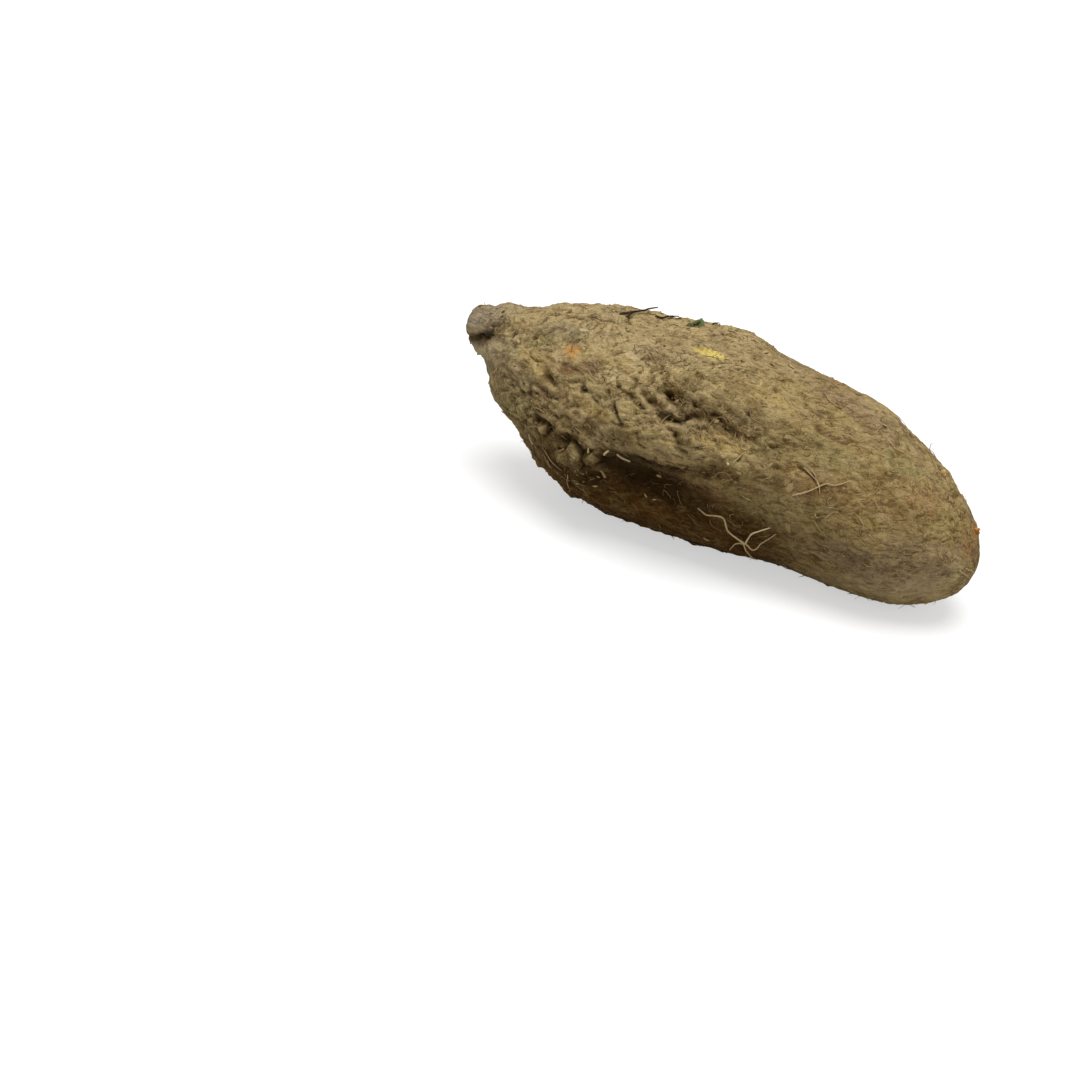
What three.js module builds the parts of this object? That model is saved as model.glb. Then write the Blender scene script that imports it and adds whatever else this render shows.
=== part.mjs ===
// A purple yam (Dioscorea alata): one solid tuber that lies on its belly.
//
// The row frame is in millimetres. +X runs along the body from the crown, where the vine grew, to the
// blunt tail, +Y to the back and +Z up. The origin is the middle of the bounding box on the surface that
// it lies on. A place on the skin is [distance, angle]: the distance is measured along the skin from the
// tip of the crown, in mm, and the angle goes round the body in degrees, 0 at the back, 90 on top and 180
// in front.
import * as THREE from "three";

// Driving dimensions of the body: each station is one cross-section, an ellipse across the X axis.
// [x, centre y, centre z, half width, half height]
const STATIONS = [
  [-119.0, 3.5, 63.8, 0.0, 0.0], // tip of the crown knob
  [-117.0, 3.5, 63.8, 6.5, 7.0],
  [-112.0, 3.5, 63.3, 9.5, 9.5], // fullest part of the knob
  [-106.5, 3.5, 62.3, 11.5, 11.0], // neck under the knob
  [-99.0, 3.5, 58.3, 19.0, 17.5],
  [-88.0, 3.0, 53.3, 27.0, 25.5],
  [-72.0, 2.5, 48.3, 35.5, 35.0],
  [-51.0, 2.0, 44.8, 42.5, 42.5],
  [-25.0, 1.5, 43.8, 46.0, 45.0],
  [6.0, 1.5, 43.3, 46.5, 45.5], // girth
  [36.0, 0.5, 40.8, 43.0, 41.5],
  [61.0, -2.5, 37.3, 39.0, 38.0],
  [80.0, -5.5, 33.8, 35.0, 34.5],
  [94.0, -7.5, 30.8, 29.5, 29.5],
  [105.5, -8.5, 28.8, 22.5, 22.5],
  [113.5, -9.0, 27.3, 15.5, 15.5],
  [118.0, -9.0, 26.3, 8.0, 8.0],
  [119.5, -9.0, 25.8, 0.0, 0.0], // tip of the tail
];

// Broad swellings, and hollows where the height is negative: smooth mounds on the skin.
// at: their middle; long: half lengths towards the crown and towards the tail; wide: half breadths above and
// below the crest; turn: degrees that the crest slants down to the tail.
const SWELLINGS = [
  { at: [141, 133], long: [15, 28], wide: [12, 6], turn: -3, height: 6.0 }, // upper lobe
  { at: [138, 160], long: [22, 26], wide: [6, 9], turn: 3, height: 4.8 }, // lower lobe
  { at: [112, 163], long: [14, 16], wide: [8, 8], turn: 0, height: 3.6 }, // crown end of the lower lobe
  { at: [60, 147], long: [22, 22], wide: [7, 10], turn: -14, height: 2.6 }, // ridge on the crown's face
  { at: [60, 128], long: [13, 13], wide: [8, 8], turn: 0, height: -2.4 }, // hollow over that ridge
  { at: [30, 168], long: [9, 9], wide: [8, 8], turn: 0, height: 1.5 }, // bulge under the knob
  { at: [47, 174], long: [8, 10], wide: [8, 8], turn: 0, height: -1.2 }, // dip after that bulge
  { at: [38, 201], long: [9, 11], wide: [10, 12], turn: 0, height: 3.2 }, // front edge of the crown
  { at: [93, 191], long: [9, 8], wide: [6, 8], turn: 0, height: 5.0 }, // stubby knuckle
  { at: [121, 189], long: [18, 20], wide: [8, 12], turn: 4, height: -6.4 }, // hollow under the lower lobe
  { at: [154, 194], long: [26, 26], wide: [10, 14], turn: 0, height: -2.5 }, // long hollow to the tail
  { at: [25, 79], long: [5, 5], wide: [6, 6], turn: 0, height: 1.6 }, // bump behind the knob
  { at: [56, 86], long: [8, 8], wide: [8, 8], turn: 0, height: 1.4 }, // bump on the crown
  { at: [84, 120], long: [16, 16], wide: [12, 12], turn: 0, height: 1.4 }, // crown's shoulder
  { at: [100, 98], long: [14, 14], wide: [12, 12], turn: 0, height: -1.4 }, // saddle on top
  { at: [137, 72], long: [14, 14], wide: [12, 12], turn: 0, height: 1.8 }, // hump on top
  { at: [159, 72], long: [12, 12], wide: [13, 13], turn: 0, height: -2.6 }, // dip after that hump
  { at: [206, 80], long: [15, 13], wide: [12, 12], turn: 0, height: 1.8 }, // hump on the tail half
  { at: [197, 84], long: [22, 22], wide: [14, 14], turn: 0, height: 1.4 }, // back of the tail half
  { at: [214, 160], long: [24, 24], wide: [16, 16], turn: 0, height: 1.0 }, // front of the tail half
  { at: [188, 215], long: [13, 13], wide: [12, 12], turn: 0, height: -2.2 }, // waist in front
  { at: [88, 20], long: [26, 26], wide: [16, 18], turn: 0, height: 2.4 }, // far shoulder
  { at: [132, -8], long: [30, 30], wide: [9, 9], turn: 8, height: -2.6 }, // far furrow
  { at: [190, 18], long: [26, 26], wide: [16, 16], turn: 0, height: 2.0 }, // far tail swelling
];

// Creases between the lobes: furrows along a route over the skin, fading out at both ends.
const CREASES = [
  {
    what: "under the upper lobe",
    route: [[116, 135], [122, 138], [129, 141], [136, 143], [143, 145], [150, 146], [158, 148], [166, 149]],
    halfWidth: 4.2,
    depth: 4.6,
  },
  {
    what: "from the lobes back to the crown",
    route: [[131, 151], [124, 150], [116, 147], [107, 146], [100, 149], [92, 153]],
    halfWidth: 4.0,
    depth: 3.2,
  },
  {
    what: "below the crown knob",
    route: [[3, 228], [6, 213], [13, 188], [18, 168], [27, 142], [33, 120]],
    halfWidth: 3.8,
    depth: 2.6,
  },
  {
    what: "under the lower lobe",
    route: [[88, 175], [97, 177], [106, 178], [118, 177], [130, 177], [142, 174], [156, 168]],
    halfWidth: 5.0,
    depth: 2.4,
  },
];

// Warts: low round knobs, each in a shallow moat. [distance, angle, radius, height]
const WARTS = [
  [109, 153, 5.2, 2.2],
  [135, 157, 5.6, 2.4],
  [121, 144, 5.0, 1.4],
  [100, 162, 5.0, 1.8],
  [88, 171, 5.2, 1.8],
];
const MOAT_SHARE = 0.35; // a wart's moat is this share of its height deep
const MOAT_AT = 1.5; // and lies this many wart radii out
const MOAT_WIDTH = 0.5;

// Gentle lumpiness all over: waves across space, [x, y, z turns per mm, phase, height].
const WAVES = [
  [0.021, 0.013, 0.008, 0.3, 0.5],
  [-0.012, 0.024, 0.017, 1.9, 0.45],
  [0.033, -0.019, 0.026, 4.1, 0.35],
  [0.046, 0.031, -0.022, 2.6, 0.25],
];
const CROWN_ROUGHER = 1.6; // the crown's waves are this many times higher than the tail's
const CROWN_FADES_OVER = 90; // mm from the crown's tip

// The grid of the skin. Its bands crowd together at the lobes and at both tips, and its columns in front.
const ROWS = 76; // bands of faces from the crown to the tail
const COLUMNS = 64; // faces round each band
const ROW_CROWDING = 0.3; // bands are this share narrower at the lobes, and wider halfway to the tips
const LOBES_AT = 0.46; // share of the skin's length
const COLUMN_CROWDING = 0.42; // columns are this share narrower at LOBES_ANGLE, and wider behind
const LOBES_ANGLE = THREE.MathUtils.degToRad(160);

// Catmull-Rom through the stations. t runs from 0 at the crown to 1 at the tail. Past each tip the centre
// line is mirrored evenly and the half sizes oddly, which closes both ends round.
function sectionAt(t) {
  const mirrored = ([x, y, z, width, height]) => [x, y, z, -width, -height];
  const points = [mirrored(STATIONS[1]), ...STATIONS, mirrored(STATIONS.at(-2))];
  const place = THREE.MathUtils.clamp(t, 0, 1) * (STATIONS.length - 1);
  const i = Math.min(Math.floor(place), STATIONS.length - 2);
  const f = place - i;
  const [a, b, c, d] = points.slice(i, i + 4);
  return b.map((_, k) => catmullRom(a[k], b[k], c[k], d[k], f));
}

function catmullRom(a, b, c, d, f) {
  const square = 2 * a - 5 * b + 4 * c - d;
  const cube = 3 * b - a - 3 * c + d;
  return 0.5 * (2 * b + (c - a) * f + square * f ** 2 + cube * f ** 3);
}

// A point on the smooth body, before its relief.
function bodyPoint(t, angle) {
  const [x, y, z, halfWidth, halfHeight] = sectionAt(t);
  return new THREE.Vector3(x, y + halfWidth * Math.cos(angle), z + halfHeight * Math.sin(angle));
}

// The distance along the skin at many values of t, which turns a distance back into t.
const LENGTH_STEPS = 2000;
const skinDistances = (() => {
  const distances = [0];
  let last = sectionAt(0);
  for (let i = 1; i <= LENGTH_STEPS; i++) {
    const next = sectionAt(i / LENGTH_STEPS);
    const [dx, dy, dz] = [0, 1, 2].map((k) => next[k] - last[k]);
    const growth = (next[3] + next[4] - last[3] - last[4]) / 2;
    distances.push(distances.at(-1) + Math.hypot(dx, dy, dz, growth));
    last = next;
  }
  return distances;
})();
const SKIN_LENGTH = skinDistances.at(-1);

function tAtDistance(distance) {
  const i = THREE.MathUtils.clamp(skinDistances.findIndex((d) => d >= distance), 1, LENGTH_STEPS);
  const [low, high] = [skinDistances[i - 1], skinDistances[i]];
  return (i - 1 + (distance - low) / (high - low)) / LENGTH_STEPS;
}

// The point of the smooth body at a place, with unit vectors along the body, round it and out of it.
function placeOnSkin([distance, degrees]) {
  const t = tAtDistance(distance);
  const angle = THREE.MathUtils.degToRad(degrees);
  const step = 1e-3;
  const point = bodyPoint(t, angle);
  const along = bodyPoint(t + step, angle).sub(point).normalize();
  const round = bodyPoint(t, angle + step).sub(point);
  round.addScaledVector(along, -round.dot(along)).normalize();
  return { point, along, round, out: new THREE.Vector3().crossVectors(round, along) };
}

const bell = (x) => Math.exp(-x * x);

// A swelling is a bell over the skin, with its own half length and half breadth on either side of its middle.
function swellingRelief({ at, long, wide, turn, height }) {
  const { point, along, round, out } = placeOnSkin(at);
  const slant = THREE.MathUtils.degToRad(turn);
  const crest = along.clone().multiplyScalar(Math.cos(slant)).addScaledVector(round, Math.sin(slant));
  const down = new THREE.Vector3().crossVectors(crest, out);
  const reach = 2 * Math.max(...long, ...wide); // keeps a swelling off the far side of the body
  return (p) => {
    const offset = p.clone().sub(point);
    const ahead = offset.dot(crest);
    const side = offset.dot(down);
    const lengthwise = bell(ahead / (ahead > 0 ? long[1] : long[0]));
    const crosswise = bell(side / (side > 0 ? wide[1] : wide[0]));
    return height * lengthwise * crosswise * bell(offset.dot(out) / reach);
  };
}

// A crease is a bell-shaped furrow round a polyline, deepest in its middle, between two low banks.
function creaseRelief({ route, halfWidth, depth }) {
  const points = route.map((place) => placeOnSkin(place).point);
  const pieces = points.length - 1;
  return (p) => {
    let nearest = Infinity;
    let share = 0;
    const closest = new THREE.Vector3();
    for (let i = 0; i < pieces; i++) {
      const piece = new THREE.Line3(points[i], points[i + 1]);
      const f = piece.closestPointToPointParameter(p, true);
      const distance = piece.at(f, closest).distanceTo(p);
      if (distance < nearest) [nearest, share] = [distance, (i + f) / pieces];
    }
    const fade = Math.sin(Math.PI * THREE.MathUtils.clamp(share, 0.04, 0.96)) ** 0.6;
    const bank = 0.25 * bell((nearest - 2.2 * halfWidth) / halfWidth);
    return depth * fade * (bank - bell(nearest / halfWidth));
  };
}

// A wart is a round, steep-sided knob with a shallow moat round it.
function wartRelief([distance, degrees, radius, height]) {
  const { point } = placeOnSkin([distance, degrees]);
  return (p) => {
    const out = p.distanceTo(point) / radius;
    return height * (Math.exp(-(out ** 3)) - MOAT_SHARE * bell((out - MOAT_AT) / MOAT_WIDTH));
  };
}

// The waves are higher near the crown.
function waveRelief(p) {
  const fromCrown = Math.max(0, p.x - STATIONS[0][0]);
  const strength = 1 + (CROWN_ROUGHER - 1) * bell(fromCrown / CROWN_FADES_OVER);
  const turns = ([a, b, c, phase]) => 2 * Math.PI * (a * p.x + b * p.y + c * p.z) + phase;
  return strength * WAVES.reduce((sum, wave) => sum + wave[4] * Math.sin(turns(wave)), 0);
}

const reliefs = [
  ...SWELLINGS.map(swellingRelief),
  ...CREASES.map(creaseRelief),
  ...WARTS.map(wartRelief),
  waveRelief,
];

// A point on the finished skin: the smooth body moved out by its relief. What would reach under the resting
// surface is pressed flat on it, which makes the small flat spot that the tuber lies on.
function skinPoint(distance, angle) {
  const { point, out } = placeOnSkin([distance, THREE.MathUtils.radToDeg(angle)]);
  const relief = reliefs.reduce((sum, reliefOf) => sum + reliefOf(point), 0);
  const skin = point.clone().addScaledVector(out, relief);
  skin.z = Math.max(skin.z, 0);
  return skin;
}

function rowDistance(row) {
  const wave = (share) => Math.sin(4 * Math.PI * (share - LOBES_AT)) / (4 * Math.PI);
  const crowd = (share) => share - ROW_CROWDING * wave(share);
  return (SKIN_LENGTH * (crowd(row / ROWS) - crowd(0))) / (crowd(1) - crowd(0));
}

function columnAngle(column) {
  const even = (2 * Math.PI * column) / COLUMNS;
  return even - COLUMN_CROWDING * Math.sin(even - LOBES_ANGLE);
}

// The tuber is a grid of bands closed by a fan of triangles at each tip. Each square of the grid is split
// along its shorter diagonal, which keeps the creases clean.
function tuberGeometry() {
  const points = [new THREE.Vector3(...STATIONS[0])];
  for (let row = 1; row < ROWS; row++) {
    for (let column = 0; column < COLUMNS; column++) {
      points.push(skinPoint(rowDistance(row), columnAngle(column)));
    }
  }
  points.push(new THREE.Vector3(...STATIONS.at(-1)));

  const vertex = (row, column) => 1 + (row - 1) * COLUMNS + (column % COLUMNS);
  const tail = points.length - 1;
  const faces = [];
  for (let column = 0; column < COLUMNS; column++) {
    faces.push(0, vertex(1, column + 1), vertex(1, column));
    faces.push(tail, vertex(ROWS - 1, column), vertex(ROWS - 1, column + 1));
    for (let row = 1; row < ROWS - 1; row++) {
      const [a, b] = [vertex(row, column), vertex(row, column + 1)];
      const [c, d] = [vertex(row + 1, column), vertex(row + 1, column + 1)];
      if (points[a].distanceTo(points[d]) < points[b].distanceTo(points[c])) faces.push(a, b, d, a, d, c);
      else faces.push(a, b, c, b, d, c);
    }
  }
  const geometry = new THREE.BufferGeometry().setFromPoints(points);
  geometry.setIndex(faces);
  geometry.computeVertexNormals();
  return geometry;
}

const skin = new THREE.MeshStandardMaterial({ color: 0x8a7650, roughness: 0.95, metalness: 0 });
const tuber = new THREE.Mesh(tuberGeometry(), skin);
tuber.name = "tuber";

const yam = new THREE.Group();
yam.add(tuber);

export default yam;
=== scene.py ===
"""The looks of a purple yam: one unpeeled tuber that lies on its belly, crown knob to the left.

The skin is a surface over two parameters: the distance along the skin from the tip of the crown, and the
angle round the body, 0 at the back, 90 degrees on top and 180 in front. A place on the skin is (distance,
angle) in millimetres and degrees. Everything else, such as rootlets, soil and scraps of leaf, lies on it.
"""

import bpy
import numpy as np
from mathutils import Matrix


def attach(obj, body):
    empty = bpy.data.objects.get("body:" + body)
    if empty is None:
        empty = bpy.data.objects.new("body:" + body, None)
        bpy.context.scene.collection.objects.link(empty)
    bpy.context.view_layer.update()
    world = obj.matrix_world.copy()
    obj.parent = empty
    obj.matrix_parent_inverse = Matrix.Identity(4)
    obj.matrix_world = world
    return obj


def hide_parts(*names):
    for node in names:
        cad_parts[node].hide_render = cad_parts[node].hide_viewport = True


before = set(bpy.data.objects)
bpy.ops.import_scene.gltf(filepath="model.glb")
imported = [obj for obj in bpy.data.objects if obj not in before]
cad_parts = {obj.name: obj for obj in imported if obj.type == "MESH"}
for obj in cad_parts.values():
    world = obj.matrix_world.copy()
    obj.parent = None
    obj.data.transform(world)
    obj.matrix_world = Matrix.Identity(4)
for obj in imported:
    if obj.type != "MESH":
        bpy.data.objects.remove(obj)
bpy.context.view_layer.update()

MM = 0.001  # lengths are worked out in millimetres and put into the meshes in metres

# ---------------------------------------------------------------------------------------------------------
# Camera, light and floor
# ---------------------------------------------------------------------------------------------------------

VIEW_CENTRE = np.array([7.0, -1.5, 40.8])  # the middle of the tuber, mm
VIEW_TURN = 18.0  # degrees round to the right of the front
VIEW_RISE = 30.0  # degrees above the floor
VIEW_ROLL = 8.3  # degrees that the picture turns clockwise
VIEW_DISTANCE = 640.0
VIEW_LENS = 50.0
VIEW_SENSOR = 36.0
SHOWN_RIGHT = 0.173  # the centre shows this share of the picture's width right of its middle
SHOWN_UP = 0.083

KEY_TURN = -30.0  # the soft main light's direction, in degrees as above
KEY_RISE = 86.0
KEY_STRENGTH = 2.3
KEY_SPREAD = 40.0
SIDE_TURN = 80.0
SIDE_RISE = 15.0
SIDE_STRENGTH = 0.22
SIDE_SPREAD = 60.0
SKY_STRENGTH = 0.4
FLOOR_SIZE = 40.0  # metres
FLOOR_BOUNCE = 0.6  # how much light the floor throws back at the tuber
FLOOR_SHOWN = 0.55  # how pale the floor shows to the camera, on top of FLOOR_GLOW
FLOOR_GLOW = 0.55


def direction(turn, rise):
    """A unit vector towards a place turned round from the front and raised above the floor, in degrees."""
    turn, rise = np.radians([turn, rise])
    return np.array([np.sin(turn) * np.cos(rise), -np.cos(turn) * np.cos(rise), np.sin(rise)])


def place(name, data, location, back, right=None):
    """Links a camera or lamp that looks along -back, with right as the picture's right."""
    if right is None:
        right = np.cross([0.0, 0.0, 1.0], back)
        right /= np.linalg.norm(right)
    turned = np.column_stack([right, np.cross(back, right), back])
    thing = bpy.data.objects.new(name, data)
    bpy.context.scene.collection.objects.link(thing)
    thing.matrix_world = Matrix.Translation(location) @ Matrix(turned.tolist()).to_4x4()
    return thing


def make_camera():
    """The camera stands back from the view centre and off to one side, so that the tuber sits off-centre."""
    back = direction(VIEW_TURN, VIEW_RISE)
    level = np.array([np.cos(np.radians(VIEW_TURN)), np.sin(np.radians(VIEW_TURN)), 0.0])
    roll = np.radians(VIEW_ROLL)
    up = np.cross(back, level)
    right = level * np.cos(roll) + up * np.sin(roll)
    up = np.cross(back, right)
    width = VIEW_SENSOR / VIEW_LENS * VIEW_DISTANCE  # of the picture at the tuber
    eye = VIEW_CENTRE + back * VIEW_DISTANCE - right * SHOWN_RIGHT * width - up * SHOWN_UP * width
    lens = bpy.data.cameras.new("camera")
    lens.lens = VIEW_LENS
    lens.sensor_width = VIEW_SENSOR
    lens.clip_end = 100.0
    bpy.context.scene.camera = place("camera", lens, eye * MM, back, right)


def make_sun(name, turn, rise, strength, spread):
    """A far lamp that shines from turn and rise, softened by its spread in degrees."""
    lamp = bpy.data.lights.new(name, "SUN")
    lamp.energy = strength
    lamp.angle = np.radians(spread)
    place(name, lamp, direction(turn, rise), direction(turn, rise))


class Nodes:
    """Adds nodes to a material or node group in few words."""

    def __init__(self, tree):
        self.tree = tree

    def join(self, node, key, value):
        """Links an output to a node's input, or sets the input to a plain value."""
        if isinstance(value, bpy.types.NodeSocket):
            self.tree.links.new(value, node.inputs[key])
        else:
            node.inputs[key].default_value = value

    def add(self, kind, settings=None, **inputs):
        """A node of one kind. Each input is a value or another node's output. An underscore stands for a
        space in its name, and i0, i1 mean the first and second input."""
        node = self.tree.nodes.new("ShaderNode" + kind)
        for key, value in (settings or {}).items():
            setattr(node, key, value)
        for name, value in inputs.items():
            key = int(name[1:]) if name[1:].isdigit() and name[0] == "i" else name.replace("_", " ")
            self.join(node, key, value)
        return node

    def math(self, operation, *values, clamp=False):
        """One sum over its values."""
        inputs = {f"i{i}": value for i, value in enumerate(values)}
        return self.add("Math", {"operation": operation, "use_clamp": clamp}, **inputs).outputs[0]

    def mix(self, share, first, second, blend="MIX"):
        """Mixes two colours: share 0 gives the first."""
        node = self.add("Mix", {"data_type": "RGBA", "blend_type": blend})
        for key, value in ((0, share), (6, first), (7, second)):
            self.join(node, key, value)
        return node.outputs[2]

    def lay(self, colour, mask, strength, shade, blend="MIX"):
        """Lays a shade over a colour where the mask is, at most as strongly as given."""
        return self.mix(self.math("MULTIPLY", mask, strength), colour, tint(*shade), blend)

    def span(self, value, low, high, to_low=0.0, to_high=1.0):
        """Carries value from the range low to high onto the range to_low to to_high, clamped and smooth."""
        node = self.add("MapRange", {"interpolation_type": "SMOOTHSTEP"})
        for key, number in enumerate((value, low, high, to_low, to_high)):
            self.join(node, key, number)
        return node.outputs[0]

    def noise(self, vector, scale, detail=2.0, roughness=0.5, warp=0.0, w=None):
        """Noise over three dimensions, or over four where w is given."""
        inputs = {} if w is None else {"W": w}
        inputs.update(Vector=vector, Scale=scale, Detail=detail, Roughness=roughness, Distortion=warp)
        settings = {"noise_dimensions": "3D" if w is None else "4D"}
        return self.add("TexNoise", settings, **inputs).outputs["Fac"]

    def attribute(self, name, output="Fac"):
        """A value that the mesh holds for each of its vertices."""
        return self.add("Attribute", {"attribute_name": name}).outputs[output]


def tint(red, green, blue):
    """A colour given as 0 to 255 on the usual screen scale, as Blender's linear RGBA."""
    c = np.array([red, green, blue]) / 255
    linear = np.where(c <= 0.04045, c / 12.92, ((c + 0.055) / 1.055) ** 2.4)
    return (*linear.tolist(), 1.0)


def new_material(name):
    """An empty material, and a way to add nodes to it."""
    material = bpy.data.materials.new(name)
    material.use_nodes = True
    material.node_tree.nodes.clear()
    return material, Nodes(material.node_tree)


def make_sky_and_floor():
    """A plain white room: an even sky, and a floor that shows white but throws little light back up."""
    world = bpy.data.worlds.new("sky")
    world.use_nodes = True
    world.node_tree.nodes.clear()
    sky = Nodes(world.node_tree)
    seen = sky.add("LightPath").outputs["Is Camera Ray"]
    lit = sky.add("Background", Color=(1, 1, 1, 1), Strength=SKY_STRENGTH).outputs[0]
    shown = sky.add("Background", Color=(1, 1, 1, 1), Strength=1.0).outputs[0]
    both = sky.add("MixShader", i0=seen, i1=lit, i2=shown).outputs[0]
    sky.add("OutputWorld", Surface=both)
    bpy.context.scene.world = world

    material, floor = new_material("floor")
    ray = floor.add("LightPath").outputs
    seen = floor.math("MAXIMUM", ray["Is Camera Ray"], ray["Is Glossy Ray"])
    dull = floor.add("BsdfDiffuse", Color=(FLOOR_BOUNCE, FLOOR_BOUNCE, FLOOR_BOUNCE, 1)).outputs[0]
    pale = floor.add("BsdfDiffuse", Color=(FLOOR_SHOWN, FLOOR_SHOWN, FLOOR_SHOWN, 1)).outputs[0]
    glow = floor.add("Emission", Color=(1, 1, 1, 1), Strength=FLOOR_GLOW).outputs[0]
    shown = floor.add("AddShader", i0=pale, i1=glow).outputs[0]
    both = floor.add("MixShader", i0=seen, i1=dull, i2=shown).outputs[0]
    floor.add("OutputMaterial", Surface=both)

    half = FLOOR_SIZE / 2
    corners = [(-half, -half, 0), (half, -half, 0), (half, half, 0), (-half, half, 0)]
    mesh = bpy.data.meshes.new("floor")
    mesh.from_pydata(corners, [], [(0, 1, 2, 3)])
    mesh.materials.append(material)
    plane = bpy.data.objects.new("floor", mesh)
    bpy.context.scene.collection.objects.link(plane)


# ---------------------------------------------------------------------------------------------------------
# The body
# ---------------------------------------------------------------------------------------------------------

# Cross-sections from the crown to the tail: x, centre y, centre z, half width, half height.
STATIONS = np.array([
    (-119.0, 3.5, 63.8, 0.0, 0.0),  # tip of the crown knob
    (-117.0, 3.5, 63.8, 6.5, 7.0),
    (-112.0, 3.5, 63.3, 9.5, 9.5),
    (-106.5, 3.5, 62.3, 11.5, 11.0),  # neck under the knob
    (-99.0, 3.5, 58.3, 19.0, 17.5),
    (-88.0, 3.0, 53.3, 27.0, 25.5),
    (-72.0, 2.5, 48.3, 35.5, 35.0),
    (-51.0, 2.0, 44.8, 42.5, 42.5),
    (-25.0, 1.5, 43.8, 46.0, 45.0),
    (6.0, 1.5, 43.3, 46.5, 45.5),  # girth
    (36.0, 0.5, 40.8, 43.0, 41.5),
    (61.0, -2.5, 37.3, 39.0, 38.0),
    (80.0, -5.5, 33.8, 35.0, 34.5),
    (94.0, -7.5, 30.8, 29.5, 29.5),
    (105.5, -8.5, 28.8, 22.5, 22.5),
    (113.5, -9.0, 27.3, 15.5, 15.5),
    (118.0, -9.0, 26.3, 8.0, 8.0),
    (119.5, -9.0, 25.8, 0.0, 0.0),  # tip of the tail
])

# Swellings, and hollows where the height is negative: distance, angle, half length towards the crown and
# towards the tail, half breadth above and below the crest, turn of the crest in degrees, height.
SWELLINGS = (
    (141, 133, 15, 28, 12, 6, -3, 6.0),  # upper lobe
    (138, 160, 22, 26, 6, 9, 3, 4.8),  # lower lobe
    (112, 163, 14, 16, 8, 8, 0, 3.6),  # the lower lobe's crown end
    (121.5, 138.8, 4.6, 4.4, 3.0, 2.4, 12, -3.6),  # upper pit
    (126, 151.2, 4, 3.6, 1.8, 1.6, 0, -2.4),  # lower pit
    (122, 144.4, 7, 7, 1.7, 1.7, 22, 2.0),  # twisted ridge between the pits
    (94, 175.4, 5, 5, 1.6, 1.6, 34, 1.6),  # beak over the knuckle
    (60, 147, 22, 22, 7, 10, -14, 2.6),  # ridge on the crown's face
    (60, 128, 13, 13, 8, 8, 0, -2.4),  # hollow over that ridge
    (66, 125, 6, 6, 5, 5, 0, 1.8),  # grey lump in that hollow
    (65, 152, 8, 8, 3, 3, 25, 1.4),  # bright ridge
    (86, 138.5, 5, 5, 4, 4, 0, -1.3),  # purplish dents
    (77.5, 143.5, 4, 4, 2.6, 2.6, 0, -1.2),
    (30, 168, 9, 9, 8, 8, 0, 1.5),  # bulge under the knob
    (47, 174, 8, 10, 8, 8, 0, -1.2),
    (38, 201, 9, 11, 10, 12, 0, 3.2),  # bulge at the crown's front edge
    (93, 189, 9, 8, 5, 6, 0, 4.0),  # stubby knuckle
    (121, 189, 18, 20, 7, 12, 4, -7.0),  # hollow under the lower lobe
    (154, 194, 26, 26, 10, 14, 0, -2.5),  # long hollow to the tail
    (12, 98, 6, 6, 7, 7, 0, 1.2),  # top of the knob
    (26, 88, 4.5, 4.5, 5, 5, 0, 2.6),  # bump behind the knob
    (42, 90, 7, 7, 8, 8, 0, -1.0),
    (55, 88, 5, 6, 7, 7, 0, 1.8),  # bump on the crown
    (84, 120, 16, 16, 12, 12, 0, 1.4),  # the crown's shoulder
    (100, 98, 14, 14, 12, 12, 0, -1.4),  # saddle on top
    (137, 72, 14, 14, 12, 12, 0, 1.8),  # hump on top
    (159, 72, 12, 12, 13, 13, 0, -2.6),
    (206, 80, 15, 13, 12, 12, 0, 1.8),  # hump on the tail half
    (197, 84, 22, 22, 14, 14, 0, 1.4),
    (214, 160, 24, 24, 16, 16, 0, 1.0),
    (188, 215, 13, 13, 12, 12, 0, -2.2),  # waist in front
    (88, 20, 26, 26, 16, 18, 0, 2.4),  # far shoulder
    (132, -8, 30, 30, 9, 9, 8, -2.6),  # far furrow
    (190, 18, 26, 26, 16, 16, 0, 2.0),  # far tail swelling
)

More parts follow.
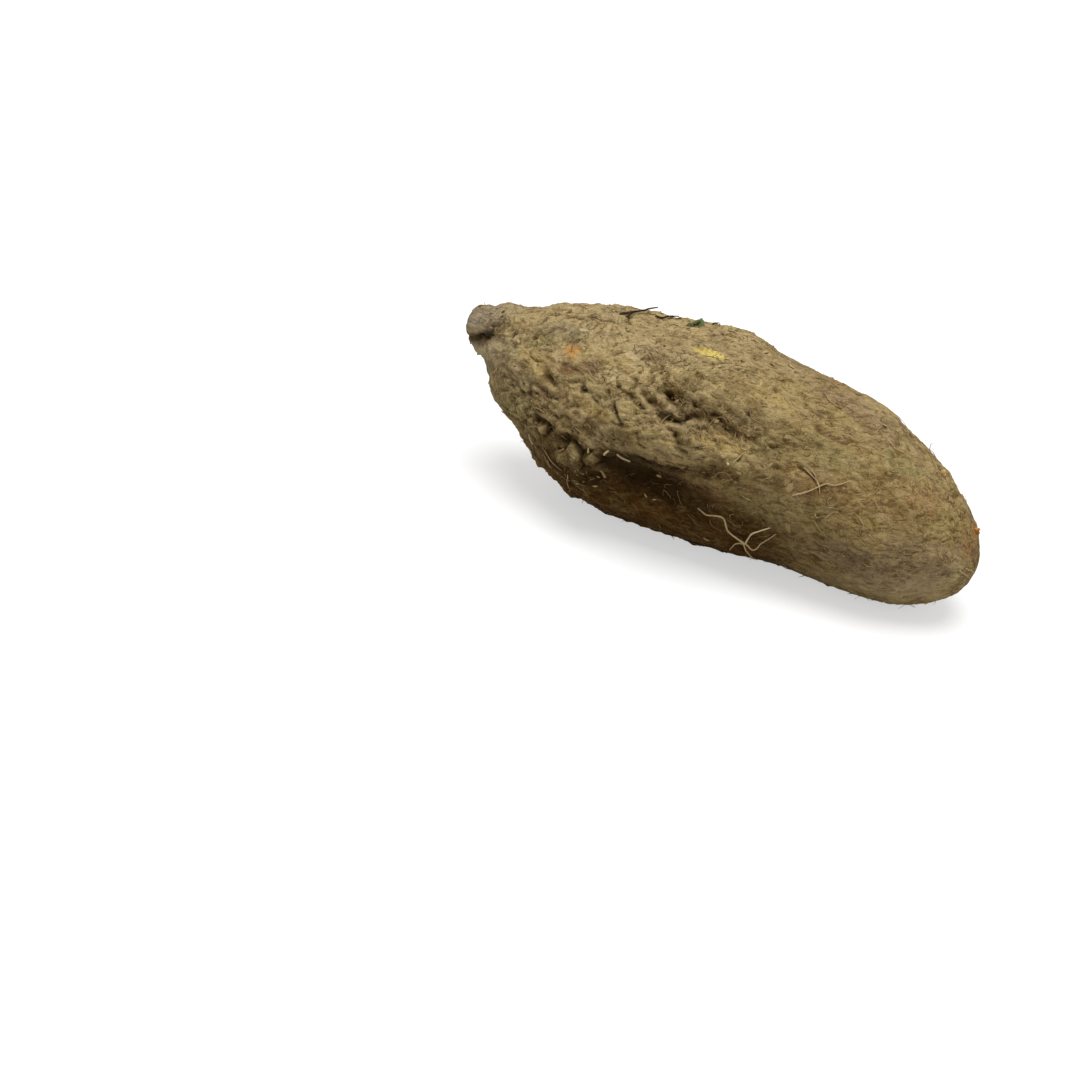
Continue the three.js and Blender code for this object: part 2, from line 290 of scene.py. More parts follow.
# Creases and cracks: half width, depth, and the route over the skin as distances and angles.
CREASES = (
    (1.2, 2.4, (119, 137.4, 120.9, 138.8, 123, 140.6, 126, 142.2, 128, 140.6)),  # rim of the upper pit
    (1.2, 2.6, (127.6, 140.1, 131.6, 140.7, 135.3, 141.7, 139, 142.4, 142.4, 142.7, 146, 143.6, 151, 146)),
    (1.1, 2.2, (134.5, 145.2, 137.2, 146, 139.9, 146.6, 143, 146.6, 146.2, 147, 149.4, 147.9)),
    (1.5, 3.2, (147, 147.6, 149.4, 147.9, 152.8, 147.8, 156.8, 147.6, 161, 146.8)),
    (1.1, 1.8, (159, 147.8, 160.5, 149, 162.9, 148.4)),
    (1.0, 1.6, (116, 137, 119, 139.6, 122, 140.6)),
    (1.1, 2.4, (112, 143, 113.4, 143.9, 116, 145.3, 119.3, 146.2)),  # under the twisted ridge
    (1.2, 2.8, (118, 146.8, 120.6, 148.3, 122.7, 150.2, 125, 150.9, 130.1, 150.9,
        132.2, 149.9, 133.7, 147.4)),
    (0.9, 1.6, (120.6, 150.4, 123.3, 153.2, 126.4, 154.7)),
    # left of the grey wart
    (1.3, 2.8, (127.6, 155.6, 128.6, 156.8, 130.7, 158.7, 132.6, 160.4, 134.4, 162.4)),
    (0.9, 1.6, (134.6, 149.4, 137.2, 150.5, 139.6, 152.2, 142.4, 151.5, 146, 150.2)),
    # over the first wart
    (1.1, 2.3, (99.3, 151.4, 101.3, 148.6, 103.1, 147.6, 105.2, 145.6, 107.4, 145, 110.4, 147.5)),
    (1.2, 2.6, (101.8, 153.2, 102.8, 154.8, 104.9, 157.1, 107.2, 159.6)),
    (0.9, 2.0, (109.4, 147.2, 112, 149, 115.2, 151.6)),
    (1.4, 1.0, (108, 159.5, 111.4, 158.9, 114.5, 159.1, 118, 158.4)),
    # curl at the upper lobe's blunt end
    (1.1, 1.7, (127.5, 134.5, 128.6, 130.9, 130.4, 128.7, 132.9, 128.9, 135, 130.4)),
    (0.9, 1.2, (146.2, 118.9, 148.8, 118.2, 151.6, 117.7)),
    (0.8, 1.1, (155.6, 112.6, 156.6, 116, 158.2, 120.4)),
    (0.9, 1.0, (160.8, 121, 162.8, 117)),
    (0.8, 1.0, (158, 131.8, 160, 131.4, 162.6, 130.8)),
    (0.8, 1.1, (154.4, 135.6, 157.4, 137.4)),
    (1.0, 1.5, (168.4, 145.3, 170.5, 144.6, 172.8, 142.9)),  # scars on the tail half
    (0.9, 1.3, (165.4, 150.6, 166.6, 152.8, 168.2, 156)),
    (0.8, 1.1, (155.8, 161.8, 158, 156.8)),
    (0.9, 1.3, (171.8, 156.3, 173.6, 157.4, 175.4, 157.9)),
    (1.0, 1.7, (180.8, 149.2, 182.6, 151, 184.6, 152.4, 187.5, 154, 191, 154.6)),
    (0.9, 1.4, (179.6, 125.8, 183.2, 126.4, 186, 127, 188.8, 127.2)),
    (3.4, 3.0, (3, 232, 7, 214, 11, 198, 15, 183, 18, 170, 24, 148, 29, 136)),  # below the knob
    (2.6, 1.8, (5, 228, 9, 212, 13, 199, 17, 188, 22, 170, 27, 155)),
    (1.8, 2.4, (3, 226, 6, 216, 9, 208, 13, 197, 17, 186)),
    (1.0, 1.6, (21, 143.5, 24.6, 135, 28.6, 127)),
    (0.9, 1.6, (54, 141.4, 57.5, 143.6, 60.1, 145, 64.2, 145.5)),  # on the crown's face
    (1.4, 2.6, (66.6, 150, 68.1, 150.9, 70.6, 152.5, 74, 152.8)),
    (1.0, 1.6, (73.8, 126.8, 75.5, 125.6, 78, 123.2)),
    (1.1, 1.6, (52.6, 132, 53.4, 127, 55, 124, 58, 122.6, 62, 119, 65, 116.4)),
    (1.1, 1.6, (39.4, 139.6, 40.8, 133.2, 41.7, 127)),
    (1.1, 1.2, (40, 146.3, 43, 145.4, 46.4, 145.6)),
    (0.9, 1.2, (36, 159, 38.5, 155.5, 41, 153)),
    (1.0, 1.4, (60.4, 165.6, 62.9, 168.4, 62.3, 172.2)),
    (0.9, 1.2, (71, 168.2, 74, 167, 77.2, 166.2)),
    (0.8, 1.1, (74.8, 101.7, 77.4, 99.6, 80.6, 104.6)),
    (0.9, 1.3, (71, 169, 74, 171, 78, 172.5, 82, 170.5)),
    (1.0, 1.4, (32, 198.6, 35.9, 202.2, 40.4, 199)),
    (1.0, 1.4, (40, 216.4, 42, 215, 45, 214)),
    (0.9, 1.1, (89, 152, 93, 153.5, 96, 155, 99, 157.5)),
    (1.2, 1.4, (44, 176, 50, 172, 56, 173, 61, 170)),
    # round a stubby wart
    (1.3, 2.2, (67, 182.6, 69, 178.8, 73.4, 179.6, 74.2, 184, 73.6, 188.4, 70, 192.6)),
    # over the knuckle
    (1.8, 2.5, (76, 184.6, 80, 183.4, 84, 181, 87, 179.4, 90, 181, 94, 182.2, 98, 183.6)),
    (1.1, 2.2, (92.6, 184, 94.2, 187, 94.6, 190.6)),
    (1.0, 2.0, (80, 196, 84, 196.6, 87, 193.6)),
    (1.1, 2.2, (97, 190.5, 99.6, 189, 101.6, 186, 102.4, 182.6)),
    # lower lobe's foot
    (2.2, 2.2, (106, 178, 114, 177, 122, 177.5, 130, 177, 138, 175, 146, 172, 154, 168)),
    (1.4, 1.6, (41, 207, 49, 203, 57, 203, 66, 200)),
    (1.4, 1.0, (58, 163, 64, 161, 70, 163, 79, 160)),
    (1.6, 1.3, (60, 100, 72, 104, 84, 102, 95, 106)),
    (1.6, 1.6, (44, 60, 54, 70, 66, 66, 78, 72)),
    (2.0, 2.2, (40, 10, 55, 22, 70, 20, 86, 32)),  # on the far side
    (2.0, 2.4, (96, -20, 110, -8, 126, -12, 142, 2)),
    (1.8, 1.8, (70, 250, 82, 262, 96, 258)),
)

# Warts: low round knobs in a shallow moat: distance, angle, radius, height.
WARTS = (
    (108, 152.4, 4.4, 2.8), (117, 152, 3.2, 1.0), (135.3, 155.2, 4.8, 2.8), (131, 132, 3.4, 1.4),
    (101, 163, 4.0, 1.8), (88, 166, 4.2, 1.4), (141, 153, 3.0, 1.2), (104, 140, 3.2, 1.2),
    (89, 188.6, 4.4, 3.2), (98.6, 186, 3.0, 2.6), (94, 190, 2.2, -1.8), (103, 190, 2.4, 1.6),
    (85, 192, 3.0, 2.0), (71.4, 185.4, 2.4, 1.0), (104, 196, 2.2, 1.4), (20, 150, 4.0, 1.0),
    (36, 112, 4.4, 1.2), (50, 156, 4.4, 1.2), (58, 185, 4.4, 1.4), (77, 112, 3.4, 1.0), (46, 50, 5.0, 1.6),
    (72, 45, 4.6, 1.6), (104, 38, 5.0, 1.8), (62, 5, 4.6, 1.8), (92, -25, 5.0, 2.0), (118, 15, 4.2, 1.6),
    (84, 235, 4.6, 1.6), (66, 225, 4.0, 1.4),
)

# Small deep pits where roots came off: distance, angle, radius, depth.
PITS = (
    (86.5, 150.5, 1.4, 2.2), (101.3, 142.5, 1.1, 1.6), (98.7, 147, 1.1, 1.6), (114.8, 150.8, 1.0, 1.5),
    (66.8, 181, 2.1, 2.3), (75, 183.5, 1.5, 1.8), (84, 183, 2.6, 2.1), (60.5, 168.4, 1.3, 1.4),
    (40, 130.5, 1.3, 1.3), (53, 130, 1.1, 1.2), (76, 99, 1.8, 1.8), (80, 102, 1.4, 1.4), (90, 90, 2.6, 1.8),
    (131, 157.5, 1.0, 1.4), (133.5, 160, 1.0, 1.4), (160, 131, 1.4, 1.0), (156, 136.5, 1.0, 0.9),
    (169, 145, 1.5, 1.2), (177, 142.4, 1.2, 1.0), (166, 154, 1.2, 1.2), (167.4, 157, 1.1, 1.1),
    (181, 104, 1.5, 1.2), (184, 127, 1.3, 1.0), (172.7, 157, 1.2, 1.0), (60, 60, 1.8, 1.8),
    (100, 20, 2.0, 2.0), (130, 40, 1.6, 1.2),
)

# Patches of colour by their kind: distance, angle, length, breadth, turn, raggedness and strength.
PATCHES = {
    "ochre": (  # bright ochre bark
        (63, 149, 11, 4.0, 20, 0.5, 1.0), (53, 144, 5, 4, 0, 0.6, 0.7), (93, 158, 8, 3.5, 10, 0.6, 0.8),
        (157, 124, 14, 3.6, 2, 0.5, 0.9), (148, 155, 14, 5.0, -3, 0.6, 0.9),
        (125, 164, 8, 4.0, -10, 0.7, 0.6), (110, 152.5, 3.2, 3.0, 0, 0.5, 0.7),
        (99, 131, 12, 5.0, 0, 0.8, 0.5), (80, 133, 6, 4, 0, 0.8, 0.5),
    ),
    "grey": (  # grey weathered bark
        (66, 118, 13, 6.5, 0, 0.6, 0.8), (135, 154.4, 4.6, 4.6, 0, 0.4, 1.0),
        (127, 145, 6, 3.0, 0, 0.6, 0.6), (104, 170, 9, 7, 0, 0.6, 0.6), (38, 163, 10, 10, 0, 0.7, 0.6),
        (40, 212, 14, 10, 0, 0.7, 0.5), (120, 140, 5, 3.4, 10, 0.6, 0.6),
    ),
    "brown": (  # bare red-brown skin
        (77.5, 143.5, 4, 2.6, 0, 0.5, 1.0), (86, 138.5, 5, 4, 0, 0.5, 0.8), (143, 146, 9, 3.0, 4, 0.5, 0.7),
        (157, 147, 9, 3.5, 0, 0.6, 0.8), (43, 163, 5, 3, 0, 0.7, 0.6), (73, 161, 9, 5, 0, 0.7, 0.6),
        (113, 124, 8, 4, 0, 0.8, 0.4), (90, 166, 8, 4, 0, 0.7, 0.6),
    ),
    "dark": (  # darker places: mostly painted shade, a painted shadow under the knob's overhang and shade under the lobes and round the knuckle; partly darker skin
        (130, 131, 6, 5, 0, 0.7, 0.4), (110, 166, 7, 5.5, 0, 0.7, 0.7), (152, 168, 8, 5.5, 0, 0.7, 0.8),
        (155, 131.5, 4, 2.2, 0, 0.6, 0.7), (159, 133.5, 2.6, 1.6, 0, 0.5, 0.8),
        (86, 207, 9, 7, 0, 0.6, 0.9), (94, 190, 2.8, 2.4, 0, 0.4, 0.8), (94, 171, 3.0, 2.4, 0, 0.5, 0.9),
        (118, 145, 5, 2.4, 10, 0.6, 1.0), (134, 158, 4.4, 3.4, 0, 0.6, 0.9),
        (9, 208, 7, 3.0, -38, 0.5, 1.0), (19, 178, 8, 3.2, -48, 0.5, 0.8), (87, 180, 3.4, 2.4, 0, 0.5, 0.8),
        (92, 172, 3.4, 2.4, 0, 0.6, 0.9), (100, 161, 4, 2.4, 0, 0.6, 0.7), (84, 200, 12, 8, 0, 0.7, 0.6),
        (78, 187, 15, 6, 0, 0.8, 0.45), (86, 187, 3, 2.6, 0, 0.6, 0.8), (176, 158, 4, 3, 0, 0.7, 0.7),
        (148, 127, 9, 5, 0, 0.8, 0.6), (29, 138, 6, 5, 0, 0.7, 0.8), (125, 139, 4.4, 4, 0, 0.5, 1.0),
        (90, 192, 11, 6, 0, 0.8, 0.6), (69, 153, 2.6, 1.8, 0, 0.5, 0.8), (66, 144, 5, 3.4, 0, 0.7, 0.5),
        (188, 161, 8, 5.5, 0, 0.7, 0.6), (198, 158, 2.2, 1.6, 0, 0.5, 0.8), (230, 150, 9, 7, 0, 0.7, 0.35),
        (96, 198, 7, 5, 0, 0.6, 0.8),
    ),
    "light": (  # lighter places: painted highlights on ridges, warts and the knuckle's beak, painted bounce light on the tail half's underside, and partly lighter skin
        (53, 166, 7, 5.5, 0, 0.6, 0.8), (60, 158, 3.2, 2.6, 0, 0.5, 0.8), (59, 177, 2.6, 2.2, 0, 0.5, 0.8),
        (93, 152, 3.2, 2.8, 0, 0.5, 0.9), (111, 137, 6, 3.4, 0, 0.7, 0.6),
        (109, 139, 2.2, 1.8, 0, 0.4, 0.8), (116, 146.4, 2.4, 1.4, 15, 0.4, 0.8),
        (117, 155, 2.8, 2.0, 0, 0.5, 0.8), (123, 147.6, 4, 1.4, 10, 0.4, 0.9),
        (133, 151.6, 2.6, 1.4, 0, 0.4, 0.8), (154, 140, 4.5, 3.0, 0, 0.6, 0.7),
        (145, 149, 6, 2.4, 0, 0.6, 0.5), (83, 97, 6, 5, 0, 0.7, 0.8), (193, 149, 4, 2.6, 0, 0.6, 0.8),
        (171, 169, 2.6, 2.0, 0, 0.5, 0.7), (101, 189, 4, 3, 0, 0.6, 0.8), (96, 153, 4, 2.6, 0, 0.6, 0.8),
        (100, 136, 4, 2.4, 0, 0.5, 0.8), (155, 228, 12, 4, 0, 0.7, 0.7), (57, 163, 7, 4, 0, 0.6, 0.6),
        (127, 167, 8, 3, 0, 0.7, 0.6), (132, 152, 3, 2, 0, 0.5, 0.7), (226, 98, 9, 7, 0, 0.7, 0.6),
        (201, 115, 6, 4.5, 0, 0.7, 0.6), (161, 95, 8, 6, 0, 0.7, 0.5),
        (94.5, 175.6, 5.5, 1.8, 34, 0.4, 0.9), (54, 165, 9, 6, 0, 0.7, 0.6), (90, 151, 4, 3, 0, 0.6, 0.9),
        (110, 140, 4, 2.6, 0, 0.6, 0.9), (145, 227, 8, 5, 0, 0.8, 0.5), (182, 163, 4, 3, 0, 0.7, 0.8),
        (71.4, 185.4, 2.2, 2.0, 0, 0.7, 0.4), (122, 144.4, 5, 1.8, 22, 0.4, 0.9),
        (15, 195, 7, 6, 0, 0.6, 0.8), (205, 224, 9, 7, 0, 0.7, 0.8), (226, 214, 14, 9, 0, 0.7, 0.9),
        (244, 204, 12, 9, 0, 0.7, 0.8), (259, 169, 7, 7, 0, 0.7, 0.6),
    ),
    "pale": (  # dry pale crust
        (101, 124, 4, 2, 10, 0.9, 1.0), (78.5, 117, 5, 2.2, 40, 0.9, 1.0),
        (97.5, 138.5, 4, 2.4, 30, 0.9, 0.9), (107.4, 130.6, 5, 2.2, 0, 0.9, 0.8),
        (71, 187, 2.2, 2.0, 0, 0.6, 0.5), (39, 124, 0.9, 1.3, 0, 0.2, 1.2),
    ),
    "peel": (  # yellow flesh where the skin is peeled
        (132, 109, 6.5, 2.6, 8, 0.6, 1.0),
    ),
    "orange": (  # orange scars
        (76, 132, 4.2, 2.8, 20, 0.6, 1.0), (262, 95, 3.4, 3, 0, 0.6, 0.6),
    ),
    "red": (  # a reddish bloom
        (179, 77, 9, 6, 0, 0.8, 1.0), (262, 121, 7, 9, 0, 0.8, 1.0),
    ),
    "purple": (  # a purplish bloom
        (224, 194, 30, 12, 0, 0.8, 1.0), (88, 136, 5, 4, 0, 0.7, 0.6), (172, 90, 22, 9, 0, 0.8, 0.45),
        (200, 97, 22, 9, 0, 0.8, 0.8), (64, 166, 6, 4, 0, 0.8, 0.6), (242, 172, 14, 9, 0, 0.8, 0.8),
        (113, 119, 14, 6, 0, 0.9, 0.5), (12, 130, 8, 8, 0, 0.8, 0.6),
    ),
    "rust": (  # rusty stains
        (232, 124, 11, 7, 0, 0.8, 0.9), (192, 155, 12, 6, 0, 0.8, 0.8), (214, 150, 9, 7, 0, 0.8, 0.6),
        (76, 143, 5, 3, 0, 0.7, 0.8), (150, 184, 9, 5, 0, 0.8, 0.6),
    ),
    "olive": (  # a greenish bloom
        (222, 117, 10, 6, 0, 0.8, 0.8), (188, 138, 14, 7, 0, 0.8, 0.7), (57, 130, 7, 5, 0, 0.7, 1.0),
        (40, 214, 16, 12, 0, 0.7, 0.9), (92, 188, 10, 7, 0, 0.7, 1.0), (108, 152, 5, 5, 0, 0.6, 0.9),
        (56, 182, 9, 7, 0, 0.7, 0.9), (116, 162, 8, 5, 0, 0.8, 0.7), (168, 148, 9, 5, 0, 0.8, 0.7),
        (131, 124, 10, 6, 0, 0.8, 0.6), (176, 178, 20, 9, 0, 0.8, 0.5), (96, 152, 10, 5, 0, 0.8, 0.6),
    ),
    "damp": (  # painted shade and shadow under the lobes and on the tail half's underside
        (124, 224, 72, 37, 0, 0.2, 1.0), (165, 206, 62, 30, 0, 0.3, 0.35),
    ),
}

# Deep places under the lobes that are painted dark, as painted shade: distance, angle, radius and how dark.
CAVITIES = (
    (107, 184, 8, 1.0), (116, 187, 13, 1.0), (130, 190, 12, 0.9), (98, 199, 7, 0.8), (144, 194, 10, 0.5),
)

SKIN_ROWS = 390
SKIN_COLUMNS = 254
FINE_ROWS = (160.0, 2.2)  # rows lie this many times closer before this distance than after it
COLUMN_CROWDING = 0.34  # columns are this share narrower at CROWDED_ANGLE, and wider behind
CROWDED_ANGLE = 150.0
CROWN_ENDS = (126.0, 186.0)  # distances between which the gnarled crown fades into the smooth tail half
# The most gnarled places: distance, angle, radius and how strongly.
GNARLED = (
    (128, 150, 26, 1.0), (148, 124, 15, 0.55), (150, 156, 16, 0.4), (94, 190, 16, 0.8), (62, 176, 13, 0.8),
)
BROKEN = ((91.0, 193.0, 12.0), (71.0, 186.0, 6.0))  # where the skin is broken into small lumps
KNOB_END = (20.0, 42.0)  # distances between which the smoother grey knob passes into the crown
PIMPLE_COUNT = 420
NICK_COUNT = 260

HAIR_COUNT = 2300
FIBRE_COUNT = 150
SMALL_STUB_COUNT = 16
CREST_STRAWS = 54  # on the crest of the lower lobe
EDGE_STRAWS = 16  # on the crown's front edge
CRUMB_TRIES = 2600  # places tried, of which some are kept
MOST_CRUMBS = 700
FLAKE_TRIES = 1200
MOST_FLAKES = 300


def bell(x):
    """1 at 0, falling off smoothly on both sides: e to the power of minus x squared."""
    return np.exp(-x * x)


def smooth_step(value, low, high):
    """0 below low, 1 above high and a smooth rise between them."""
    x = np.clip((value - low) / (high - low), 0.0, 1.0)
    return x * x * (3 - 2 * x)


def gradient_noise(points, size, seed):
    """Gradient noise: a random slope at each corner of a cubic lattice with edge size, blended smoothly in
    between. The values run from about -1 to 1."""
    random = np.random.default_rng(seed)
    order = random.permutation(256)
    slopes = random.normal(size=(256, 3))
    slopes /= np.linalg.norm(slopes, axis=1, keepdims=True)
    at = points / size
    cell = np.floor(at).astype(int)
    offset = at - cell
    blend = offset**3 * (offset * (offset * 6 - 15) + 10)
    total = np.zeros(points.shape[:-1])
    for corner in np.ndindex(2, 2, 2):
        hashed = np.zeros(points.shape[:-1], int)
        for axis in range(3):
            hashed = order[(hashed + cell[..., axis] + corner[axis]) % 256]
        weight = np.prod(np.where(corner, blend, 1 - blend), axis=-1)
        total += weight * ((offset - corner) * slopes[hashed]).sum(-1)
    return 1.5 * total


def wander(points, size, reach, seed):
    """Points moved about by up to about reach, by one gradient noise for each axis."""
    moves = [gradient_noise(points, size, seed + axis) for axis in range(3)]
    return points + reach * np.stack(moves, axis=-1)


def catmull_rom(padded, at):
    """The smooth cubic curve through the rows of padded but its first and last, where at counts those rows
    from 0: each stretch leaves and meets its knots along the line between their neighbours."""
    i = np.minimum(at.astype(int), len(padded) - 4)
    f = (at - i)[..., None]
    a, b, c, d = (padded[i + k] for k in range(4))
    return 0.5 * (2 * b + (c - a) * f + (2 * a - 5 * b + 4 * c - d) * f**2 + (3 * b - a - 3 * c + d) * f**3)


def section_at(t):
    """The cross-section at t, from 0 at the crown to 1 at the tail. Past each tip the centre line is mirrored
    evenly and the half sizes oddly, which closes both ends round."""
    mirror = np.array([1, 1, 1, -1, -1])
    padded = np.vstack([STATIONS[1] * mirror, STATIONS, STATIONS[-2] * mirror])
    return catmull_rom(padded, np.clip(t, 0, 1) * (len(STATIONS) - 1))


def measure_skin(steps=4000):
    """The distance along the skin at many values of t, which turns a distance back into t."""
    t = np.linspace(0, 1, steps)
    section = section_at(t)
    line = np.column_stack([section[:, :3], section[:, 3:].mean(axis=1)])
    lengths = np.linalg.norm(np.diff(line, axis=0), axis=1)
    return t, np.concatenate([[0.0], np.cumsum(lengths)])


SKIN_T, SKIN_DISTANCES = measure_skin()
SKIN_LENGTH = SKIN_DISTANCES[-1]


def body_point(distance, angle):
    """A point on the smooth body: the section's ellipse at that distance, at that angle in degrees."""
    section = section_at(np.interp(distance, SKIN_DISTANCES, SKIN_T))
    round_it = np.radians(angle)
    y = section[..., 1] + section[..., 3] * np.cos(round_it)
    z = section[..., 2] + section[..., 4] * np.sin(round_it)
    return np.stack([section[..., 0] + 0 * y, y, z], axis=-1)


def body_frame(distance, angle):
    """The body's point at a place, with unit vectors along the body, round it and out of it."""
    step = 0.05
    distance = np.clip(distance, 4 * step, SKIN_LENGTH - 4 * step)
    point = body_point(distance, angle)
    along = body_point(distance + step, angle) - body_point(distance - step, angle)
    along /= np.linalg.norm(along, axis=-1, keepdims=True)
    turn = body_point(distance, angle + step) - body_point(distance, angle - step)
    turn -= along * (along * turn).sum(-1, keepdims=True)
    turn /= np.linalg.norm(turn, axis=-1, keepdims=True)
    return point, along, turn, np.cross(turn, along)


def as_places(route):
    """A flat list of distance, angle, distance, angle as two arrays."""
    return np.array(route[::2], float), np.array(route[1::2], float)


def swelling(points, distance, angle, before, after, above, below, turn, height):
    """A bell over the skin, with its own length towards the crown and the tail and its own breadth above and
    below the crest, kept off the far side of the body."""
    point, along, round_it, out = body_frame(np.array(float(distance)), float(angle))
    slant = np.radians(turn)
    crest = along * np.cos(slant) + round_it * np.sin(slant)
    down = np.cross(crest, out)
    offset = points - point
    ahead, side = offset @ crest, offset @ down
    reach = 2 * max(before, after, above, below)
    lengthwise = bell(ahead / np.where(ahead > 0, after, before))
    return height * lengthwise * bell(side / np.where(side > 0, below, above)) * bell(offset @ out / reach)


def crease(points, half_width, depth, route):
    """A furrow round a line over the skin, with a bell-shaped bank on each side, fading out at both ends:
    minus e to the power of minus the 1.6th power of the distance in half widths. Gives its height, the way
    that its lips lean in over it, and how dark it is painted, from 0 to 1, as painted shade in the furrow."""
    line = body_point(*as_places(route))
    centre = line.mean(axis=0)
    around = np.linalg.norm(line - centre, axis=1).max() + 6 * half_width
    near = np.linalg.norm(points - centre, axis=-1) < around
    close = points[near]
    pieces = len(line) - 1
    nearest = np.full(len(close), np.inf)
    share = np.zeros(len(close))
    towards = np.zeros(close.shape)
    for i in range(pieces):
        step = line[i + 1] - line[i]
        f = np.clip((close - line[i]) @ step / (step @ step), 0, 1)
        offset = line[i] + f[:, None] * step - close
        away = np.linalg.norm(offset, axis=-1)
        closer = away < nearest
        nearest = np.where(closer, away, nearest)
        share = np.where(closer, (i + f) / pieces, share)
        towards = np.where(closer[:, None], offset, towards)
    fade = np.sin(np.pi * np.clip(share, 0.03, 0.97)) ** 0.5
    fade = fade * np.clip(0.75 + 0.7 * gradient_noise(close, 5.5, 27), 0.2, 1.15)
    banks = 0.28 * bell((nearest - 2.1 * half_width) / (0.9 * half_width))
    shape = banks - np.exp(-((nearest / half_width) ** 1.6))
    lean = 0.18 * half_width * fade * bell((nearest - 1.3 * half_width) / (0.8 * half_width))
    height, slide, dark = np.zeros(points.shape[:-1]), np.zeros(points.shape), np.zeros(points.shape[:-1])
    height[near] = 1.1 * depth * fade * shape
    slide[near] = towards / np.maximum(nearest, 1e-6)[:, None] * lean[:, None]
    dark[near] = min(depth / 2.0, 1.0) * np.minimum(fade, 1.0) * bell(nearest / (0.8 * half_width))
    return height, slide, dark


def distance_to(points, distance, angle):
    """How far points are from a place on the smooth body."""
    return np.linalg.norm(points - body_point(np.array(float(distance)), float(angle)), axis=-1)


def wart(points, distance, angle, radius, height):
    """A low knob, e to the power of minus the cube of the distance in radii, in a narrow bell-shaped moat.
    Both are uneven round its edge."""
    out = distance_to(points, distance, angle) / radius * (1 + 0.35 * gradient_noise(points, 3.8, 28))
    moat = 0.6 * np.clip(0.6 + 1.2 * gradient_noise(points, 4.4, 29), 0, 1.0)
    return 0.8 * height * (np.exp(-(out**3.0)) - moat * bell((out - 1.2) / 0.24))


def pit(points, distance, angle, radius, depth):
    """A small uneven hole: e to the power of minus the 2.4th power of the distance in radii."""
    out = distance_to(points, distance, angle) / radius * (1 + 0.6 * gradient_noise(points, 2.2, 30))
    return -0.9 * depth * np.exp(-(out**2.4))


def crown_share(points, distance):
    """1 on the gnarled crown half, 0 on the tail half, with an uneven border."""
    uneven = distance + 14 * gradient_noise(points, 26.0, 71)
    return 1 - smooth_step(uneven, *CROWN_ENDS)


def gnarls(points, crown, lobes, knob):
    """The crown's own relief: rounded lumps with sharp valleys between them, which is the absolute value of
    gradient noise, at several sizes over wandering coordinates, and stretched along the body as strands; thin
    folds where a slow noise passes through zero; and soft swells. Slower noises let them come and go."""
    bent = wander(points * [0.5, 1.0, 1.0], 11.0, 4.5, 11)
    torn = wander(points * [0.42, 1.0, 1.0], 4.5, 2.2, 14)
    fading = smooth_step(gradient_noise(points, 15.0, 19), -0.35, 0.45)
    coming = smooth_step(gradient_noise(points, 9.0, 20), -0.1, 0.45)
    large = np.abs(gradient_noise(bent, 10.0, 21))
    rough = np.clip(0.3 + 1.5 * large, 0, 1)
    middle = rough * (0.3 + 0.7 * fading) * (np.abs(gradient_noise(torn, 5.0, 22)) - 0.3)
    small = rough * (np.abs(gradient_noise(torn, 2.2, 23)) - 0.3)
    strands = np.abs(gradient_noise(wander(points * [0.3, 1.0, 1.0], 7.0, 3.2, 16), 2.7, 18)) - 0.3
    folds = coming * bell(gradient_noise(wander(bent, 6.0, 3.0, 15), 7.0, 26) / 0.1)
    soft = 0.9 * gradient_noise(points, 19.0, 24) + 0.7 * gradient_noise(bent, 8.0, 17)
    strength = (0.6 + 0.5 * lobes) * (1 - 0.55 * knob)
    lumps = 1.3 * (large - 0.3) + 2.4 * middle + 1.8 * small - 1.3 * folds + (0.8 + 2.1 * lobes) * strands
    return crown * (strength * lumps + (0.8 - 0.5 * knob) * soft)


def broken_lumps(points):
    """Small lumps with dark gaps between them: gradient noise past a threshold, at two sizes."""
    torn = wander(points * [0.7, 1.0, 1.0], 3.6, 1.8, 151)
    large = smooth_step(gradient_noise(torn, 3.8, 152), -0.35, 0.4)
    return 1.5 * (large - 0.5) + 0.7 * gradient_noise(torn, 1.9, 153)


def tail_relief(points, grain):
    """The tail half's relief: gentle dents, long fine furrows along the body, and a bark of small lumps."""
    dents = 0.9 * gradient_noise(points, 24.0, 31) + 0.4 * gradient_noise(points, 10.0, 32)
    furrows = gradient_noise(wander(grain, 9.0, 1.6, 33) * [0.22, 1.0, 1.0], 2.4, 36)
    torn = wander(grain, 3.2, 1.2, 37) * [0.55, 1.0, 1.0]
    bark = np.abs(gradient_noise(torn, 3.0, 40)) - 0.3
    fine = np.abs(gradient_noise(torn, 1.7, 41)) - 0.3
    return dents + 0.24 * furrows + 0.5 * bark + 0.34 * fine


def scatter_pimples(points, count, seed):
    """Low cones where rootlets sit, at random over the whole skin. Only points near one are worked out."""
    random = np.random.default_rng(seed)
    distance = random.uniform(14, SKIN_LENGTH - 8, count)
    angle = random.uniform(0, 360, count)
    radius = random.uniform(0.9, 2.1, count)
    height = random.uniform(0.25, 0.9, count)
    flat = points.reshape(-1, 3)
    relief = np.zeros(len(flat))
    for centre, r, h in zip(body_point(distance, angle), radius, height):
        near = np.flatnonzero(np.abs(flat - centre).max(axis=1) < 2.2 * r)
        relief[near] += h * bell(np.linalg.norm(flat[near] - centre, axis=1) / r)
    return relief.reshape(points.shape[:-1])


